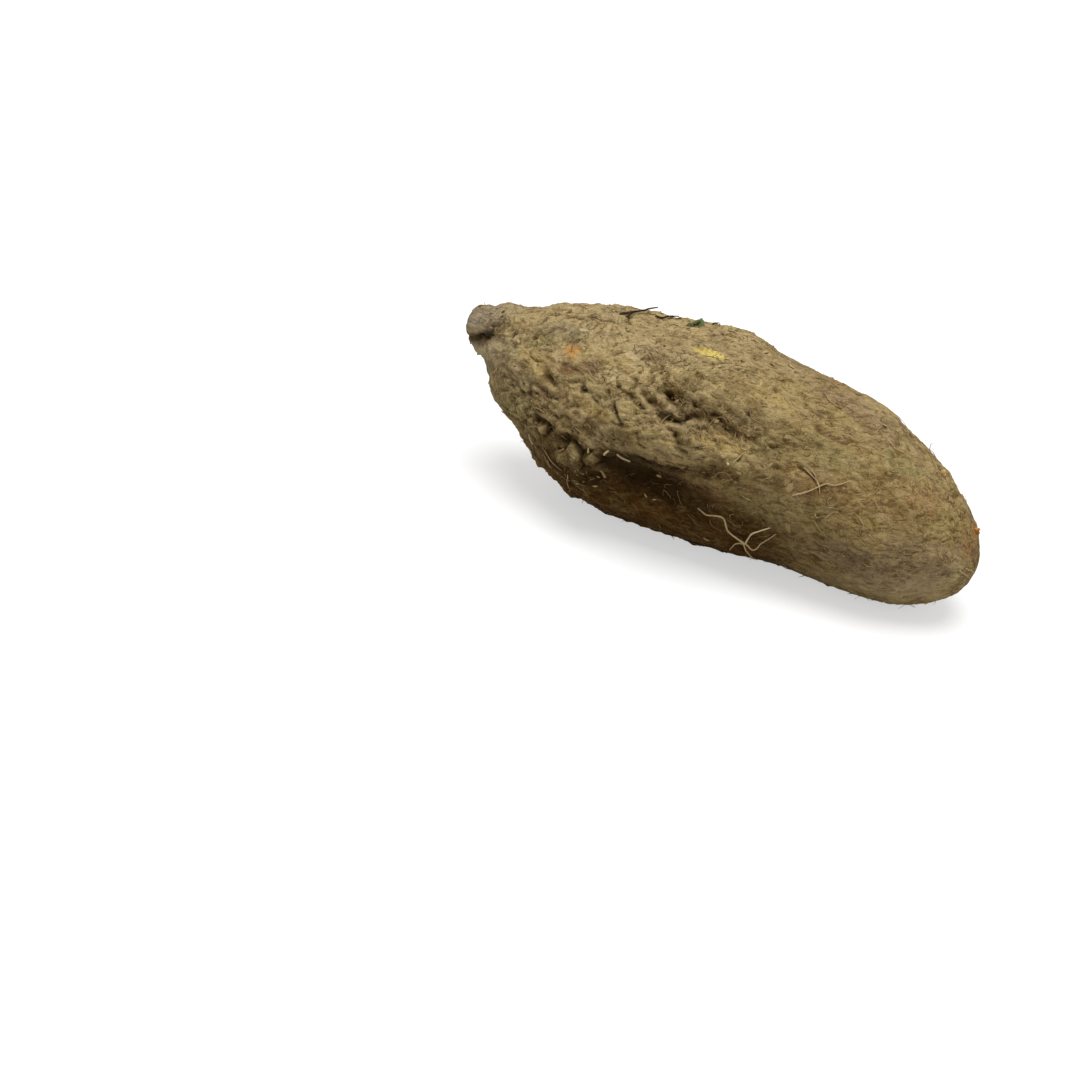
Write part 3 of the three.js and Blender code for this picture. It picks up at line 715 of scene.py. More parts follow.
def scatter_nicks(points, count, seed):
    """Short shallow grooves at random over the whole skin: their relief, and how dark they are painted, as
    painted shade in the grooves.
    """
    random = np.random.default_rng(seed)
    distance = random.uniform(20, SKIN_LENGTH - 20, count)
    angle = random.uniform(0, 360, count)
    heading = random.uniform(0, np.pi, count)
    middle, along, turn, _ = body_frame(distance, angle)
    way = along * np.cos(heading)[:, None] + turn * np.sin(heading)[:, None]
    half = random.uniform(0.8, 3.0, count)
    width = random.uniform(0.6, 0.95, count)
    depth = random.uniform(0.15, 0.7, count)
    flat = points.reshape(-1, 3)
    relief, dark = np.zeros(len(flat)), np.zeros(len(flat))
    for centre, step, reach, wide, deep in zip(middle, way, half, width, depth):
        near = np.flatnonzero(np.abs(flat - centre).max(axis=1) < reach + 2.5 * wide)
        offset = flat[near] - centre
        ahead = np.clip(offset @ step, -reach, reach)
        away = np.linalg.norm(offset - ahead[:, None] * step, axis=1)
        shape = bell(away / wide)
        relief[near] -= deep * (shape - 0.35 * bell((away - 2.0 * wide) / (0.7 * wide)))
        dark[near] = np.maximum(dark[near], deep * shape)
    return relief.reshape(points.shape[:-1]), dark.reshape(points.shape[:-1])


def blur(field, rows, columns):
    """Gaussian blur of a field on the skin's grid: the columns close round, the end rows repeat."""
    for axis, width in ((0, rows), (1, columns)):
        reach = int(3 * width)
        padding = ((reach, reach), (0, 0)) if axis == 0 else ((0, 0), (reach, reach))
        padded = np.pad(field, padding, mode="edge" if axis == 0 else "wrap")
        weights = bell(np.arange(-reach, reach + 1) / (1.414 * width))
        weights /= weights.sum()
        size = field.shape[axis]
        field = sum(w * padded.take(range(k, k + size), axis=axis) for k, w in enumerate(weights))
    return field


class Skin:
    """The finished surface on a grid of rows along the skin and columns round it. Its fields hold one value
    or one vector for each place on the grid, and can be looked up by distance and angle."""

    def __init__(self):
        self.lay_grid()
        self.raise_forms()
        self.roughen()
        self.place_points()
        self.find_hollows()

    def lay_grid(self):
        """Rows and columns that stand closest where the skin is most gnarled, the smooth body's points and
        the ways out of it, and where the crown, its knob and its roughest places are."""
        fine_end, closer = FINE_ROWS
        fine_share = fine_end * closer / (fine_end * closer + SKIN_LENGTH - fine_end)
        knots = (0, fine_share, 1), (0, fine_end, SKIN_LENGTH)
        self.distance = np.interp(np.linspace(0, 1, SKIN_ROWS + 1), *knots)
        even = np.linspace(0, 360, SKIN_COLUMNS, endpoint=False)
        self.angle = even - np.degrees(COLUMN_CROWDING * np.sin(np.radians(even - CROWDED_ANGLE)))
        distance, angle = np.meshgrid(self.distance, self.angle, indexing="ij")
        self.body, _, _, self.out = body_frame(distance, angle)
        self.thick = self.radius(distance)
        even_radius = 0.55 * self.thick + 0.45 * 30.0
        round_it = np.radians(angle)
        round_grain = even_radius * np.cos(round_it), even_radius * np.sin(round_it)
        self.grain = np.stack([distance, *round_grain], axis=-1)
        self.crown = crown_share(self.body, distance)
        self.knob = 1 - smooth_step(distance + 8 * gradient_noise(self.body, 14.0, 72), *KNOB_END)
        self.gnarled = sum(row[3] * bell(distance_to(self.body, *row[:2]) / row[2]) for row in GNARLED)
        broken = sum(bell(distance_to(self.body, *row[:2]) / row[2]) for row in BROKEN)
        self.broken = np.minimum(broken, 1.0)

    def raise_forms(self):
        """The swellings, creases, warts and pits, how the creases' lips lean in, and how dark cracks are
        painted, as painted shade in the creases and pits.
        """
        bent = wander(wander(self.body, 7.0, 1.6, 51), 2.8, 0.9, 54)
        self.relief = sum(swelling(self.body, *row) for row in SWELLINGS)
        self.slide = np.zeros(self.body.shape)
        self.crack = np.zeros(self.relief.shape)
        for row in CREASES:
            height, lean_in, dark = crease(bent, *row)
            self.relief += height
            self.slide += lean_in
            self.crack = np.maximum(self.crack, dark)
        self.relief += sum(wart(bent, *row) for row in WARTS)
        for row in PITS:
            hole = pit(bent, *row)
            self.relief += hole
            # Pits are painted dark, as painted shade in the holes.
            self.crack = np.maximum(self.crack, -0.5 * hole)
        self.level = self.relief.copy()

    def roughen(self):
        """The fine relief: gnarls, small broken lumps, bark, pimples and nicks, fading out at both tips."""
        tips = smooth_step(self.thick, 0.0, 9.0)
        self.relief += (0.35 + 0.65 * tips) * gnarls(self.body, self.crown, self.gnarled, self.knob)
        self.relief += self.broken * broken_lumps(self.body)
        self.relief += tips * (0.45 + 0.55 * (1 - self.crown)) * tail_relief(self.body, self.grain)
        self.relief += tips * scatter_pimples(self.body, PIMPLE_COUNT, 61)
        nicks, dark = scatter_nicks(self.body, NICK_COUNT, 62)
        self.relief += tips * nicks
        # The nicks are painted dark too, as painted shade in the grooves.
        self.crack = np.maximum(self.crack, 0.6 * dark * (1 - 0.5 * self.knob))

    def place_points(self):
        """The body's points moved out by the relief and along the skin by the lips' lean, flat where they
        would go under the floor. cover is a smoothed copy, for what lies on the skin."""
        slide = self.slide - self.out * (self.slide * self.out).sum(-1, keepdims=True)
        self.point = self.body + self.out * self.relief[..., None] + slide
        self.point[..., 2] = np.maximum(self.point[..., 2], 0.0)
        for end in (0, -1):
            self.point[end] = self.point[end].mean(axis=0)
        self.cover = self.body + self.out * blur(self.relief, 2.0, 2.0)[..., None]

    def find_hollows(self):
        """How far each place lies below or above the skin around it, and how deep in a cavity under the
        lobes, where painted shade goes.
        """
        fine = self.relief - blur(self.relief, 3.0, 3.0)
        broad = self.relief - blur(self.relief, 9.0, 9.0)
        # How strongly hollows are painted dark, as dirt and painted shade: less on the knob, more among the
        # broken lumps.
        dirt_and_shade = (1 - 0.5 * self.knob) * (1 + 0.6 * self.broken)
        self.hollow = np.clip(-(0.6 * fine + 0.26 * broad), 0, 2) * dirt_and_shade
        self.ridge = np.clip(0.55 * fine + 0.25 * broad, 0, 2)
        self.cavity = np.zeros(self.relief.shape)
        for row in CAVITIES:
            inside = 1 - smooth_step(distance_to(self.body, *row[:2]) / row[2], 0.45, 1.2)
            self.cavity = np.maximum(self.cavity, row[3] * inside)

    def look_up(self, field, distance, angle):
        """A field of the grid at any places, by linear interpolation."""
        row = np.interp(np.asarray(distance, float), self.distance, np.arange(SKIN_ROWS + 1))
        wrapped = np.mod(np.asarray(angle, float) - self.angle[0], 360) + self.angle[0]
        knots = np.append(self.angle, self.angle[0] + 360)
        column = np.interp(wrapped, knots, np.arange(SKIN_COLUMNS + 1))
        r = np.minimum(row.astype(int), SKIN_ROWS - 1)
        c = np.minimum(column.astype(int), SKIN_COLUMNS - 1)
        f, g = row - r, column - c
        if field.ndim == 3:
            f, g = f[..., None], g[..., None]
        c, d = c % SKIN_COLUMNS, (c + 1) % SKIN_COLUMNS
        low = field[r, c] * (1 - g) + field[r, d] * g
        high = field[r + 1, c] * (1 - g) + field[r + 1, d] * g
        return low * (1 - f) + high * f

    def at(self, distance, angle, lift=0.0):
        """Points lifted straight out of the body off a smoothed copy of the skin, never under the floor."""
        out = self.look_up(self.out, distance, angle)
        point = self.look_up(self.cover, distance, angle) + out * np.asarray(lift, float)[..., None]
        point[..., 2] = np.maximum(point[..., 2], 0.3)
        return point

    def radius(self, distance):
        """The mean half size of the smooth body's section."""
        return section_at(np.interp(distance, SKIN_DISTANCES, SKIN_T))[..., 3:].mean(axis=-1)


def spot(skin, distance, angle, length, breadth, turn, ragged, strength):
    """A mask over the skin: strength inside an ellipse with a ragged border, and 0 outside it and on the
    body's other side."""
    point, along, round_it, out = body_frame(np.array(float(distance)), float(angle))
    slant = np.radians(turn)
    crest = along * np.cos(slant) + round_it * np.sin(slant)
    side = -along * np.sin(slant) + round_it * np.cos(slant)
    near = np.linalg.norm(skin.point - point, axis=-1) < 2.5 * max(length, breadth)
    near &= (skin.point - point) @ out > -breadth - 8
    offset = skin.point[near] - point
    reach = np.sqrt((offset @ crest / length) ** 2 + (offset @ side / breadth) ** 2)
    reach += ragged * gradient_noise(skin.point[near], 0.5 * breadth + 1.0, int(10 * distance + angle))
    mask = np.zeros(near.shape)
    mask[near] = strength * (1 - smooth_step(reach, 0.55, 1.3))
    return mask


# ---------------------------------------------------------------------------------------------------------
# Meshes
# ---------------------------------------------------------------------------------------------------------


def add_piece(name, vertices, faces, material, attributes):
    """Puts a mesh given in millimetres into the scene and on the root body. attributes holds one value or one
    vector for each vertex."""
    mesh = bpy.data.meshes.new(name)
    mesh.from_pydata((np.asarray(vertices) * MM).tolist(), [], faces)
    for key, values in attributes.items():
        values = np.asarray(values, np.float32)
        kind, field = ("FLOAT_VECTOR", "vector") if values.ndim == 2 else ("FLOAT", "value")
        mesh.attributes.new(key, kind, "POINT").data.foreach_set(field, values.ravel())
    mesh.polygons.foreach_set("use_smooth", np.ones(len(mesh.polygons), bool))
    mesh.materials.append(material)
    mesh.update()
    piece = bpy.data.objects.new(name, mesh)
    bpy.context.scene.collection.objects.link(piece)
    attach(piece, "root")
    return piece


def grid_faces(rows, columns, start=0):
    """Quads between neighbouring rings of a closed tube of rings, as an array of corner numbers."""
    r, c = np.meshgrid(np.arange(rows - 1), np.arange(columns), indexing="ij")
    d = (c + 1) % columns
    low, high = r * columns, (r + 1) * columns
    return np.stack([low + c, low + d, high + d, high + c], axis=-1).reshape(-1, 4) + start


def make_skin_piece(skin, material):
    """The skin's rings as quads, with a fan of triangles to each tip."""
    rings = skin.point[1:-1]
    vertices = np.vstack([skin.point[:1, 0], rings.reshape(-1, 3), skin.point[-1:, 0]])
    quads = grid_faces(len(rings), SKIN_COLUMNS, 1).tolist()
    first = np.arange(SKIN_COLUMNS)
    second = (first + 1) % SKIN_COLUMNS
    last_ring = 1 + (len(rings) - 1) * SKIN_COLUMNS
    crown = np.column_stack([np.zeros_like(first), 1 + second, 1 + first]).tolist()
    tip = np.full_like(first, len(vertices) - 1)
    tail = np.column_stack([tip, last_ring + first, last_ring + second]).tolist()

    def on_vertices(field):
        """A field of the grid in the order of the vertices."""
        flat = field[1:-1].reshape(-1, *field.shape[2:])
        return np.concatenate([field[:1, 0], flat, field[-1:, 0]])

    attributes = {
        "grain": on_vertices(skin.grain * MM),
        "crown": on_vertices(skin.crown),
        "knob": on_vertices(skin.knob),
        "gnarl": on_vertices(np.minimum(skin.gnarled, 1.0)),
        "cavity": on_vertices(skin.cavity),
        "hollow": on_vertices(skin.hollow),
        "ridge": on_vertices(skin.ridge),
        "crack": on_vertices(skin.crack),
        "level": on_vertices(skin.level * MM),
    }
    for kind in sorted(PATCHES):
        attributes[kind] = on_vertices(np.max([spot(skin, *row) for row in PATCHES[kind]], axis=0))
    piece = add_piece("tuber_skin", vertices, quads + crown + tail, material, attributes)
    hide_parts("tuber")


def unit(vectors):
    """The vectors at length 1."""
    return vectors / np.maximum(np.linalg.norm(vectors, axis=-1, keepdims=True), 1e-9)


def add_tubes(name, paths, radii, sides, material, tone):
    """Tapered tubes along many paths with equally many points. A ring of sides corners stands square to the
    path at each point, and a fan of triangles to one more point closes each end."""
    count, rings = radii.shape
    tangent = unit(np.gradient(paths, axis=1))
    across = unit(np.cross(tangent, np.array([0.31, -0.52, 0.79])))
    other = np.cross(tangent, across)
    turn = np.linspace(0, 2 * np.pi, sides, endpoint=False)[:, None]
    spokes = np.cos(turn) * across[:, :, None] + np.sin(turn) * other[:, :, None]
    corners = paths[:, :, None] + radii[:, :, None, None] * spokes
    tips = paths[:, [0, -1]] + tangent[:, [0, -1]] * radii[:, [0, -1], None] * [[-1.0], [1.0]]
    vertices = np.concatenate([corners.reshape(count, -1, 3), tips], axis=1)
    first = np.arange(sides)
    second = (first + 1) % sides
    start, end = rings * sides, rings * sides + 1
    head = np.column_stack([np.full(sides, start), second, first])
    tail = np.column_stack([np.full(sides, end), first + (rings - 1) * sides, second + (rings - 1) * sides])
    shift = (np.arange(count) * vertices.shape[1])[:, None, None]
    quads = (grid_faces(rings, sides)[None] + shift).reshape(-1, 4).tolist()
    fans = (np.vstack([head, tail])[None] + shift).reshape(-1, 3).tolist()
    tones = np.repeat(tone, vertices.shape[1])
    add_piece(name, vertices.reshape(-1, 3), quads + fans, material, {"tone": tones})


def creep(skin, distance, angle, heading, step, bends, lifts):
    """Paths that creep over the skin. Each takes equal steps in its heading, which is 0 towards the tail and
    90 degrees round the body, and which its bends turn. The lifts raise each point off the skin."""
    heading = np.radians(heading[:, None] + np.cumsum(bends, axis=1))
    distance = distance[:, None] + np.cumsum(step[:, None] * np.cos(heading), axis=1)
    distance = np.clip(distance, 1.0, SKIN_LENGTH - 1.0)
    round_it = np.cumsum(step[:, None] * np.sin(heading) / skin.radius(distance), axis=1)
    return skin.at(distance, angle[:, None] + np.degrees(round_it), lifts)


def in_underside_shade(distance, angle):
    """Where places lie in the painted shade under the lobes."""
    return np.hypot((distance - 122) / 68, (angle - 216) / 44) < 1


def scatter_places(skin, count, random, low=6.0, high=262.0):
    """Places spread evenly over the skin's area: more where the body is thicker."""
    distance = random.uniform(low, high, 4 * count)
    kept = random.random(4 * count) * 46.0 < skin.radius(distance)
    distance = distance[kept][:count]
    return distance, random.uniform(0, 360, len(distance))


def make_root_hairs(skin, material):
    """Short hairs all over the skin, most of them lying along it and some standing off it."""
    random = np.random.default_rng(101)
    distance, angle = scatter_places(skin, HAIR_COUNT, random)
    count, points = len(distance), 6
    length = random.gamma(3.0, 0.95, count) + 0.8
    heading = random.normal(0, 38, count) + np.where(random.random(count) < 0.5, 0, 180)
    bends = random.normal(0, 16, (count, 1)) + random.normal(0, 14, (count, points))
    share = np.linspace(0, 1, points)
    standing = random.random(count) < 0.18
    rise = np.where(standing, random.uniform(0.2, 0.5, count) * length, random.uniform(0.1, 0.45, count))
    profile = np.where(standing[:, None], share, np.sin(np.pi * share * 0.85))
    lifts = -0.15 + rise[:, None] * profile
    paths = creep(skin, distance, angle, heading, length / points, bends, lifts)
    thick = random.uniform(0.11, 0.27, count)
    radii = thick[:, None] * (1.0 - 0.75 * share) + 0.02
    # Hairs in the painted shade under the lobes are painted darker as well.
    tone = random.uniform(0.3, 1.0, count) * np.where(in_underside_shade(distance, angle), 0.25, 1.0)
    add_tubes("root_hairs", paths, radii, 3, material, tone)


def make_long_fibres(skin, material):
    """Longer curled fibres that lie on the skin, most of them on the lobes and the tail half's front."""
    random = np.random.default_rng(102)
    distance, angle = scatter_places(skin, FIBRE_COUNT, random, 50.0, 240.0)
    count, points = len(distance), 12
    length = random.uniform(6, 15, count)
    heading = random.normal(0, 45, count) + np.where(random.random(count) < 0.5, 0, 180)
    bends = random.normal(0, 9, (count, 1)) + random.normal(0, 14, (count, points))
    share = np.linspace(0, 1, points)
    rise = random.uniform(0.15, 0.7, count)
    lifts = -0.1 + rise[:, None] * np.sin(np.pi * share * random.uniform(0.8, 2.2, (count, 1))) ** 2 + 0.12
    paths = creep(skin, distance, angle, heading, length / points, bends, lifts)
    thick = random.uniform(0.14, 0.3, count)
    radii = thick[:, None] * (1.0 - 0.7 * share**2)
    # Fibres in the painted shade under the lobes are painted darker as well.
    tone = random.uniform(0.3, 0.8, count) * np.where(in_underside_shade(distance, angle), 0.3, 1.0)
    add_tubes("long_fibres", paths, radii, 4, material, tone)


# Stubs on the knuckle: radius at the foot, and the route as distance, angle and lift.
STUBS = (
    (0.9, (100.9, 190, -0.5, 102.4, 193.5, 0.1, 103.6, 196.5, 0.3)),
    (0.6, (92, 194, -0.4, 93, 196, 0.2, 94, 197.4, 0.3)),
    (0.6, (84, 188, -0.2, 82.6, 190, 0.2, 81.4, 191.6, 0.3)),
)


def make_root_stubs(skin, material):
    """Short thick stubs of torn roots that bristle out of the knuckle: a few listed ones and smaller ones at
    random below it."""
    random = np.random.default_rng(106)
    count, points = SMALL_STUB_COUNT, 6
    distance = random.normal(93, 6.0, count)
    angle = random.normal(199, 5.0, count)
    length = random.uniform(1.2, 2.4, count)
    heading = random.uniform(0, 360, count)
    share = np.linspace(0, 1, points)
    creeping = random.uniform(0.3, 0.8, count)
    lifts = -0.8 + (length * (1.15 - creeping))[:, None] * share
    bends = random.normal(0, 10, (count, points))
    scattered = creep(skin, distance, angle, heading, creeping * length / points, bends, lifts)
    routes = np.stack([along_knots(np.reshape(route, (-1, 3)), points) for _, route in STUBS])
    paths = np.concatenate([scattered, skin.at(routes[..., 0], routes[..., 1], routes[..., 2])])
    thick = np.concatenate([random.uniform(0.35, 0.75, count), [radius for radius, _ in STUBS]])
    radii = thick[:, None] * (1.0 - 0.4 * share) * (1 + 0.55 * gradient_noise(paths, 1.3, 131))
    tone = np.concatenate([random.uniform(0.0, 0.5, count), random.uniform(0.2, 0.5, len(STUBS))])
    add_tubes("root_stubs", paths, radii, 6, material, tone)


def make_fringe(skin, material):
    """Pale straw-like fibres that stand along the lower lobe's crest and along the crown's front edge."""
    random = np.random.default_rng(107)
    count, points = CREST_STRAWS + EDGE_STRAWS, 8
    crest = random.uniform(0, 1, CREST_STRAWS)
    edge = random.uniform(0, 1, EDGE_STRAWS)
    distance = np.concatenate([134 + 22 * crest, 58 + 34 * edge]) + random.normal(0, 1.2, count)
    angle = np.concatenate([157 - 5 * crest, 203 + 9 * edge]) + random.normal(0, 1.6, count)
    heading = np.concatenate([random.normal(-105, 24, CREST_STRAWS), random.normal(14, 14, EDGE_STRAWS)])
    length = np.concatenate([random.uniform(1.8, 3.6, CREST_STRAWS), random.uniform(4, 9, EDGE_STRAWS)])
    share = np.linspace(0, 1, points)
    bends = random.normal(0, 6, (count, points))
    rise = np.concatenate([random.uniform(0.5, 1.5, CREST_STRAWS), random.uniform(0.3, 1.2, EDGE_STRAWS)])
    lifts = -0.2 + rise[:, None] * np.sin(np.pi * 0.75 * share)
    paths = creep(skin, distance, angle, heading, length / points, bends, lifts)
    radii = random.uniform(0.14, 0.3, count)[:, None] * (1.0 - 0.6 * share)
    add_tubes("straw_fringe", paths, radii, 4, material, random.uniform(0.3, 0.85, count))


# Rootlets listed one by one: radius at the start and at the end, and the route as distance, angle and lift.
ROOTLETS = (
    (0.34, 0.42, (145, 198, 0.1, 149, 199, 0.8, 156, 196, 1.4, 159, 203, 2.0, 163, 206, 2.4, 167, 208, 2.6)),
    (0.42, 0.20, (167, 208, 2.6, 169, 199, 3.0, 173, 194, 2.6, 176, 191, 1.6)),
    (0.40, 0.18, (167, 208, 2.6, 171, 211, 3.0, 174, 203, 3.2, 179, 193, 2.2)),
    (0.36, 0.20, (167, 208, 2.6, 163, 211, 2.4, 160, 222, 1.4)),
    (0.34, 0.16, (166, 208, 2.4, 169, 218, 2.6, 172, 226, 1.8)),
    (0.34, 0.22, (182, 167, 0.0, 189, 159, 0.6, 193, 153, 0.8, 197, 151, 0.6, 203, 144, 0.1)),
    (0.28, 0.16, (191, 156, 0.5, 188, 151, 0.7, 184, 148, 0.1)),
    (0.26, 0.16, (183, 150, 0.0, 190, 154, 0.6, 192, 159, 0.4)),
    (0.44, 0.40, (108, 178, 0.2, 111, 178.5, 1.4, 114, 179, 1.8)),  # pale cut ends under the lower lobe
    (0.50, 0.42, (104, 177.6, 0.4, 103.4, 178.8, 1.4, 103, 180, 1.8)),
    (0.40, 0.34, (95.6, 179.6, 0.6, 96.4, 181.6, 1.6)),
    (0.24, 0.12, (88, 172.4, 0.0, 91.5, 173, 0.2, 95, 175.4, 0.3, 98, 179, 0.2)),  # strands on the beak
    (0.20, 0.10, (86.4, 206, 0.2, 86, 213, 0.7, 86.2, 222, 0.7, 85, 228, 0.2)),  # strands under the knuckle
    (0.24, 0.12, (72, 200, 0.0, 75, 202, 0.5, 79, 204, 0.6, 83, 205.4, 0.2)),
    (0.34, 0.20, (63, 200, 0.2, 65, 200, 1.4, 68, 200, 2.2)),
    (0.30, 0.20, (155.6, 162, 0.0, 157, 159, 0.5, 158.4, 156, 0.2)),
    (0.55, 0.42, (153.4, 163, -0.2, 154, 163.4, 0.9)),
    (0.26, 0.16, (210, 105, 0.0, 214, 108, 0.6, 218, 106, 0.1)),
    (0.26, 0.16, (181, 102, 0.0, 184, 106, 0.6, 189, 105, 0.1)),
    (0.30, 0.16, (176, 20, 0.0, 182, 28, 1.0, 190, 30, 1.4, 198, 24, 0.3)),
    (0.22, 0.14, (262, 168, 0.1, 266, 172, 0.6, 268, 180, 1.6)),  # root tail at the very end
    (0.40, 0.10, (258, 172, 0.1, 262, 178, 0.5, 265, 190, 1.4)),
    (0.30, 0.16, (120, 350, 0.0, 127, 356, 1.2, 136, 352, 1.0, 142, 344, 0.2)),
)


def along_knots(knots, points):
    """Catmull-Rom through the rows of knots, at evenly spread values."""
    knots = np.asarray(knots, float)
    padded = np.vstack([2 * knots[0] - knots[1], knots, 2 * knots[-1] - knots[-2]])
    return catmull_rom(padded, np.linspace(0, len(knots) - 1, points))


def make_rootlets(skin, material):
    """The listed rootlets, forks and pale cut ends among them, with a slight wobble."""
    points = 22
    routes = np.stack([along_knots(np.reshape(route, (-1, 3)), points) for _, _, route in ROOTLETS])
    paths = skin.at(routes[..., 0], routes[..., 1], routes[..., 2])
    paths += 0.25 * np.stack([gradient_noise(paths, 3.0, 111 + axis) for axis in range(3)], axis=-1)
    ends = np.array([row[:2] for row in ROOTLETS])
    share = np.linspace(0, 1, points)
    radii = ends[:, :1] * (1 - share) + ends[:, 1:] * share
    radii = radii * (1 + 0.18 * gradient_noise(paths, 1.6, 115))
    tone = np.where(ends[:, 0] > 0.4, 1.0, 0.6)
    add_tubes("rootlets", paths, radii, 7, material, tone)


def make_twig(skin, material):
    """A dry dark twig with a side stub that sticks up from the top of the crown."""
    main = along_knots([(87, 91, 0.2), (90, 88, 0.9), (94, 82, 1.3), (99, 73, 2.6)], 16)
    stub = along_knots([(90, 88, 0.9), (91, 92, 1.5), (92, 96, 1.6), (93, 99, 1.2)], 16)
    dry = along_knots([(101, 83, 0.1), (104, 84, 0.7), (107, 82, 1.2), (110, 79, 1.6)], 16)
    routes = np.stack([main, stub, dry])
    paths = skin.at(routes[..., 0], routes[..., 1], routes[..., 2])
    paths += 0.3 * np.stack([gradient_noise(paths, 2.6, 121 + axis) for axis in range(3)], axis=-1)
    share = np.linspace(0, 1, 16)
    radii = np.outer([0.75, 0.5, 0.6], 1 - 0.6 * share) * (1 + 0.25 * gradient_noise(paths, 1.4, 125))
    add_tubes("twig", paths, radii, 6, material, np.zeros(3))


LUMP_RINGS = 4
LUMP_SIDES = 6


def add_lumps(name, centres, frames, sizes, bend, material, tone, random):
    """Many small lumps: each is a sphere of rings and sides with uneven corners, stretched to its half sizes
    along the three axes of its frame, and bent down towards both ends like a dry flake."""
    count = len(centres)
    rise = np.linspace(0, np.pi, LUMP_RINGS + 2)[1:-1, None]
    turn = np.linspace(0, 2 * np.pi, LUMP_SIDES, endpoint=False)
    level = np.cos(rise) + 0 * turn
    ring = np.stack([np.sin(rise) * np.cos(turn), np.sin(rise) * np.sin(turn), level], axis=-1)
    ball = np.vstack([ring.reshape(-1, 3), [(0, 0, 1), (0, 0, -1)]])
    corners = ball * random.uniform(0.72, 1.2, (count, len(ball), 1)) * sizes[:, None]
    corners[..., 2] -= bend[:, None] * (corners[..., 0] / sizes[:, :1]) ** 2
    vertices = centres[:, None] + corners @ frames
    first = np.arange(LUMP_SIDES)
    second = (first + 1) % LUMP_SIDES
    top = len(ball) - 2
    last = (LUMP_RINGS - 1) * LUMP_SIDES
    caps = np.vstack([
        np.column_stack([np.full_like(first, top), first, second]),
        np.column_stack([np.full_like(first, top + 1), last + second, last + first]),
    ])
    shift = (np.arange(count) * len(ball))[:, None, None]
    quads = (grid_faces(LUMP_RINGS, LUMP_SIDES)[..., ::-1][None] + shift).reshape(-1, 4).tolist()
    fans = (caps[None] + shift).reshape(-1, 3).tolist()
    tones = np.repeat(tone, len(ball))
    add_piece(name, vertices.reshape(-1, 3), quads + fans, material, {"tone": tones})


def skin_frames(skin, distance, angle, turn, tilt):
    """Frames on the skin, one for each place: the rows are along, across and out, turned on the skin and then
    tilted up out of it, in degrees."""
    out = skin.look_up(skin.out, distance, angle)
    along = unit(np.cross(out, np.cross([1.0, 0.0, 0.0], out)))
    across = np.cross(out, along)
    turn, tilt = np.radians(turn)[:, None], np.radians(tilt)[:, None]
    along, across = along * np.cos(turn) + across * np.sin(turn), across * np.cos(turn) - along * np.sin(turn)
    along, out = along * np.cos(tilt) + out * np.sin(tilt), out * np.cos(tilt) - along * np.sin(tilt)
    return np.stack([along, across, out], axis=1)


def make_soil_crumbs(skin, material):
    """Crumbs of dry soil, most of them on the crown and in its hollows."""
    random = np.random.default_rng(103)
    distance, angle = scatter_places(skin, CRUMB_TRIES, random, 2.0, 250.0)
    crown = skin.look_up(skin.crown, distance, angle)
    hollow = skin.look_up(skin.hollow, distance, angle)
    kept = random.random(len(distance)) < 0.04 + 0.22 * crown + 0.3 * np.minimum(hollow, 1)
    kept &= ~in_underside_shade(distance, angle)
    distance, angle = distance[kept][:MOST_CRUMBS], angle[kept][:MOST_CRUMBS]
    count = len(distance)
    size = np.minimum(random.gamma(2.6, 0.12, count) + 0.2, 0.6)
    sizes = size[:, None] * random.uniform(0.5, 1.2, (count, 3))
    frames = skin_frames(skin, distance, angle, random.uniform(0, 360, count), random.uniform(-40, 40, count))
    centres = skin.look_up(skin.point, distance, angle) + frames[:, 2] * (0.2 * size)[:, None]
    centres[:, 2] = np.maximum(centres[:, 2], 1.6)
    tone = random.random(count)
    add_lumps("soil_crumbs", centres, frames, sizes, np.zeros(count), material, tone, random)


def make_bark_flakes(skin, material):
    """Thin curled flakes of bark, half lifted off the skin."""
    random = np.random.default_rng(104)
    distance, angle = scatter_places(skin, FLAKE_TRIES, random, 8.0, 255.0)
    crown = skin.look_up(skin.crown, distance, angle)
    kept = random.random(len(distance)) < (0.12 + 0.3 * crown) * np.where(in_underside_shade(distance, angle), 0.1, 1.0)
    distance, angle = distance[kept][:MOST_FLAKES], angle[kept][:MOST_FLAKES]
    count = len(distance)
    length = random.gamma(4.0, 0.24, count) + 0.6
    breadth, thickness = length * random.uniform(0.3, 0.7, count), random.uniform(0.09, 0.2, count)
    sizes = np.column_stack([length, breadth, thickness])
    turn = random.normal(0, 40, count) + np.where(random.random(count) < 0.5, 0, 180)
    frames = skin_frames(skin, distance, angle, turn, random.uniform(4, 34, count))
    centres = skin.look_up(skin.point, distance, angle) + frames[:, 2] * 0.25
    centres[:, 2] = np.maximum(centres[:, 2], 2.4)
    bend = length * random.uniform(0.05, 0.4, count)
    tone = random.uniform(0.25, 0.9, count)
    add_lumps("bark_flakes", centres, frames, sizes, bend, material, tone, random)


def make_buds(skin, material):
    """A pale nub and an orange bud near the tip of the tail, each in a few small lumps."""
    random = np.random.default_rng(108)
    distance = np.array([236.0, 237.2, 261.0, 262.2, 260.4])
    angle = np.array([87.0, 88.5, 91.0, 89.0, 93.0])
    frames = skin_frames(skin, distance, angle, random.uniform(0, 360, 5), np.zeros(5))
    centres = skin.look_up(skin.point, distance, angle) + frames[:, 2] * 0.5
    size = np.array([1.3, 0.8, 1.3, 0.9, 0.8])
    sizes = size[:, None] * np.array([1.0, 0.85, 1.1])
    tone = np.array([1.0, 0.9, 0.0, 0.1, 0.3])
    add_lumps("tail_buds", centres, frames, sizes, np.zeros(5), material, tone, random)


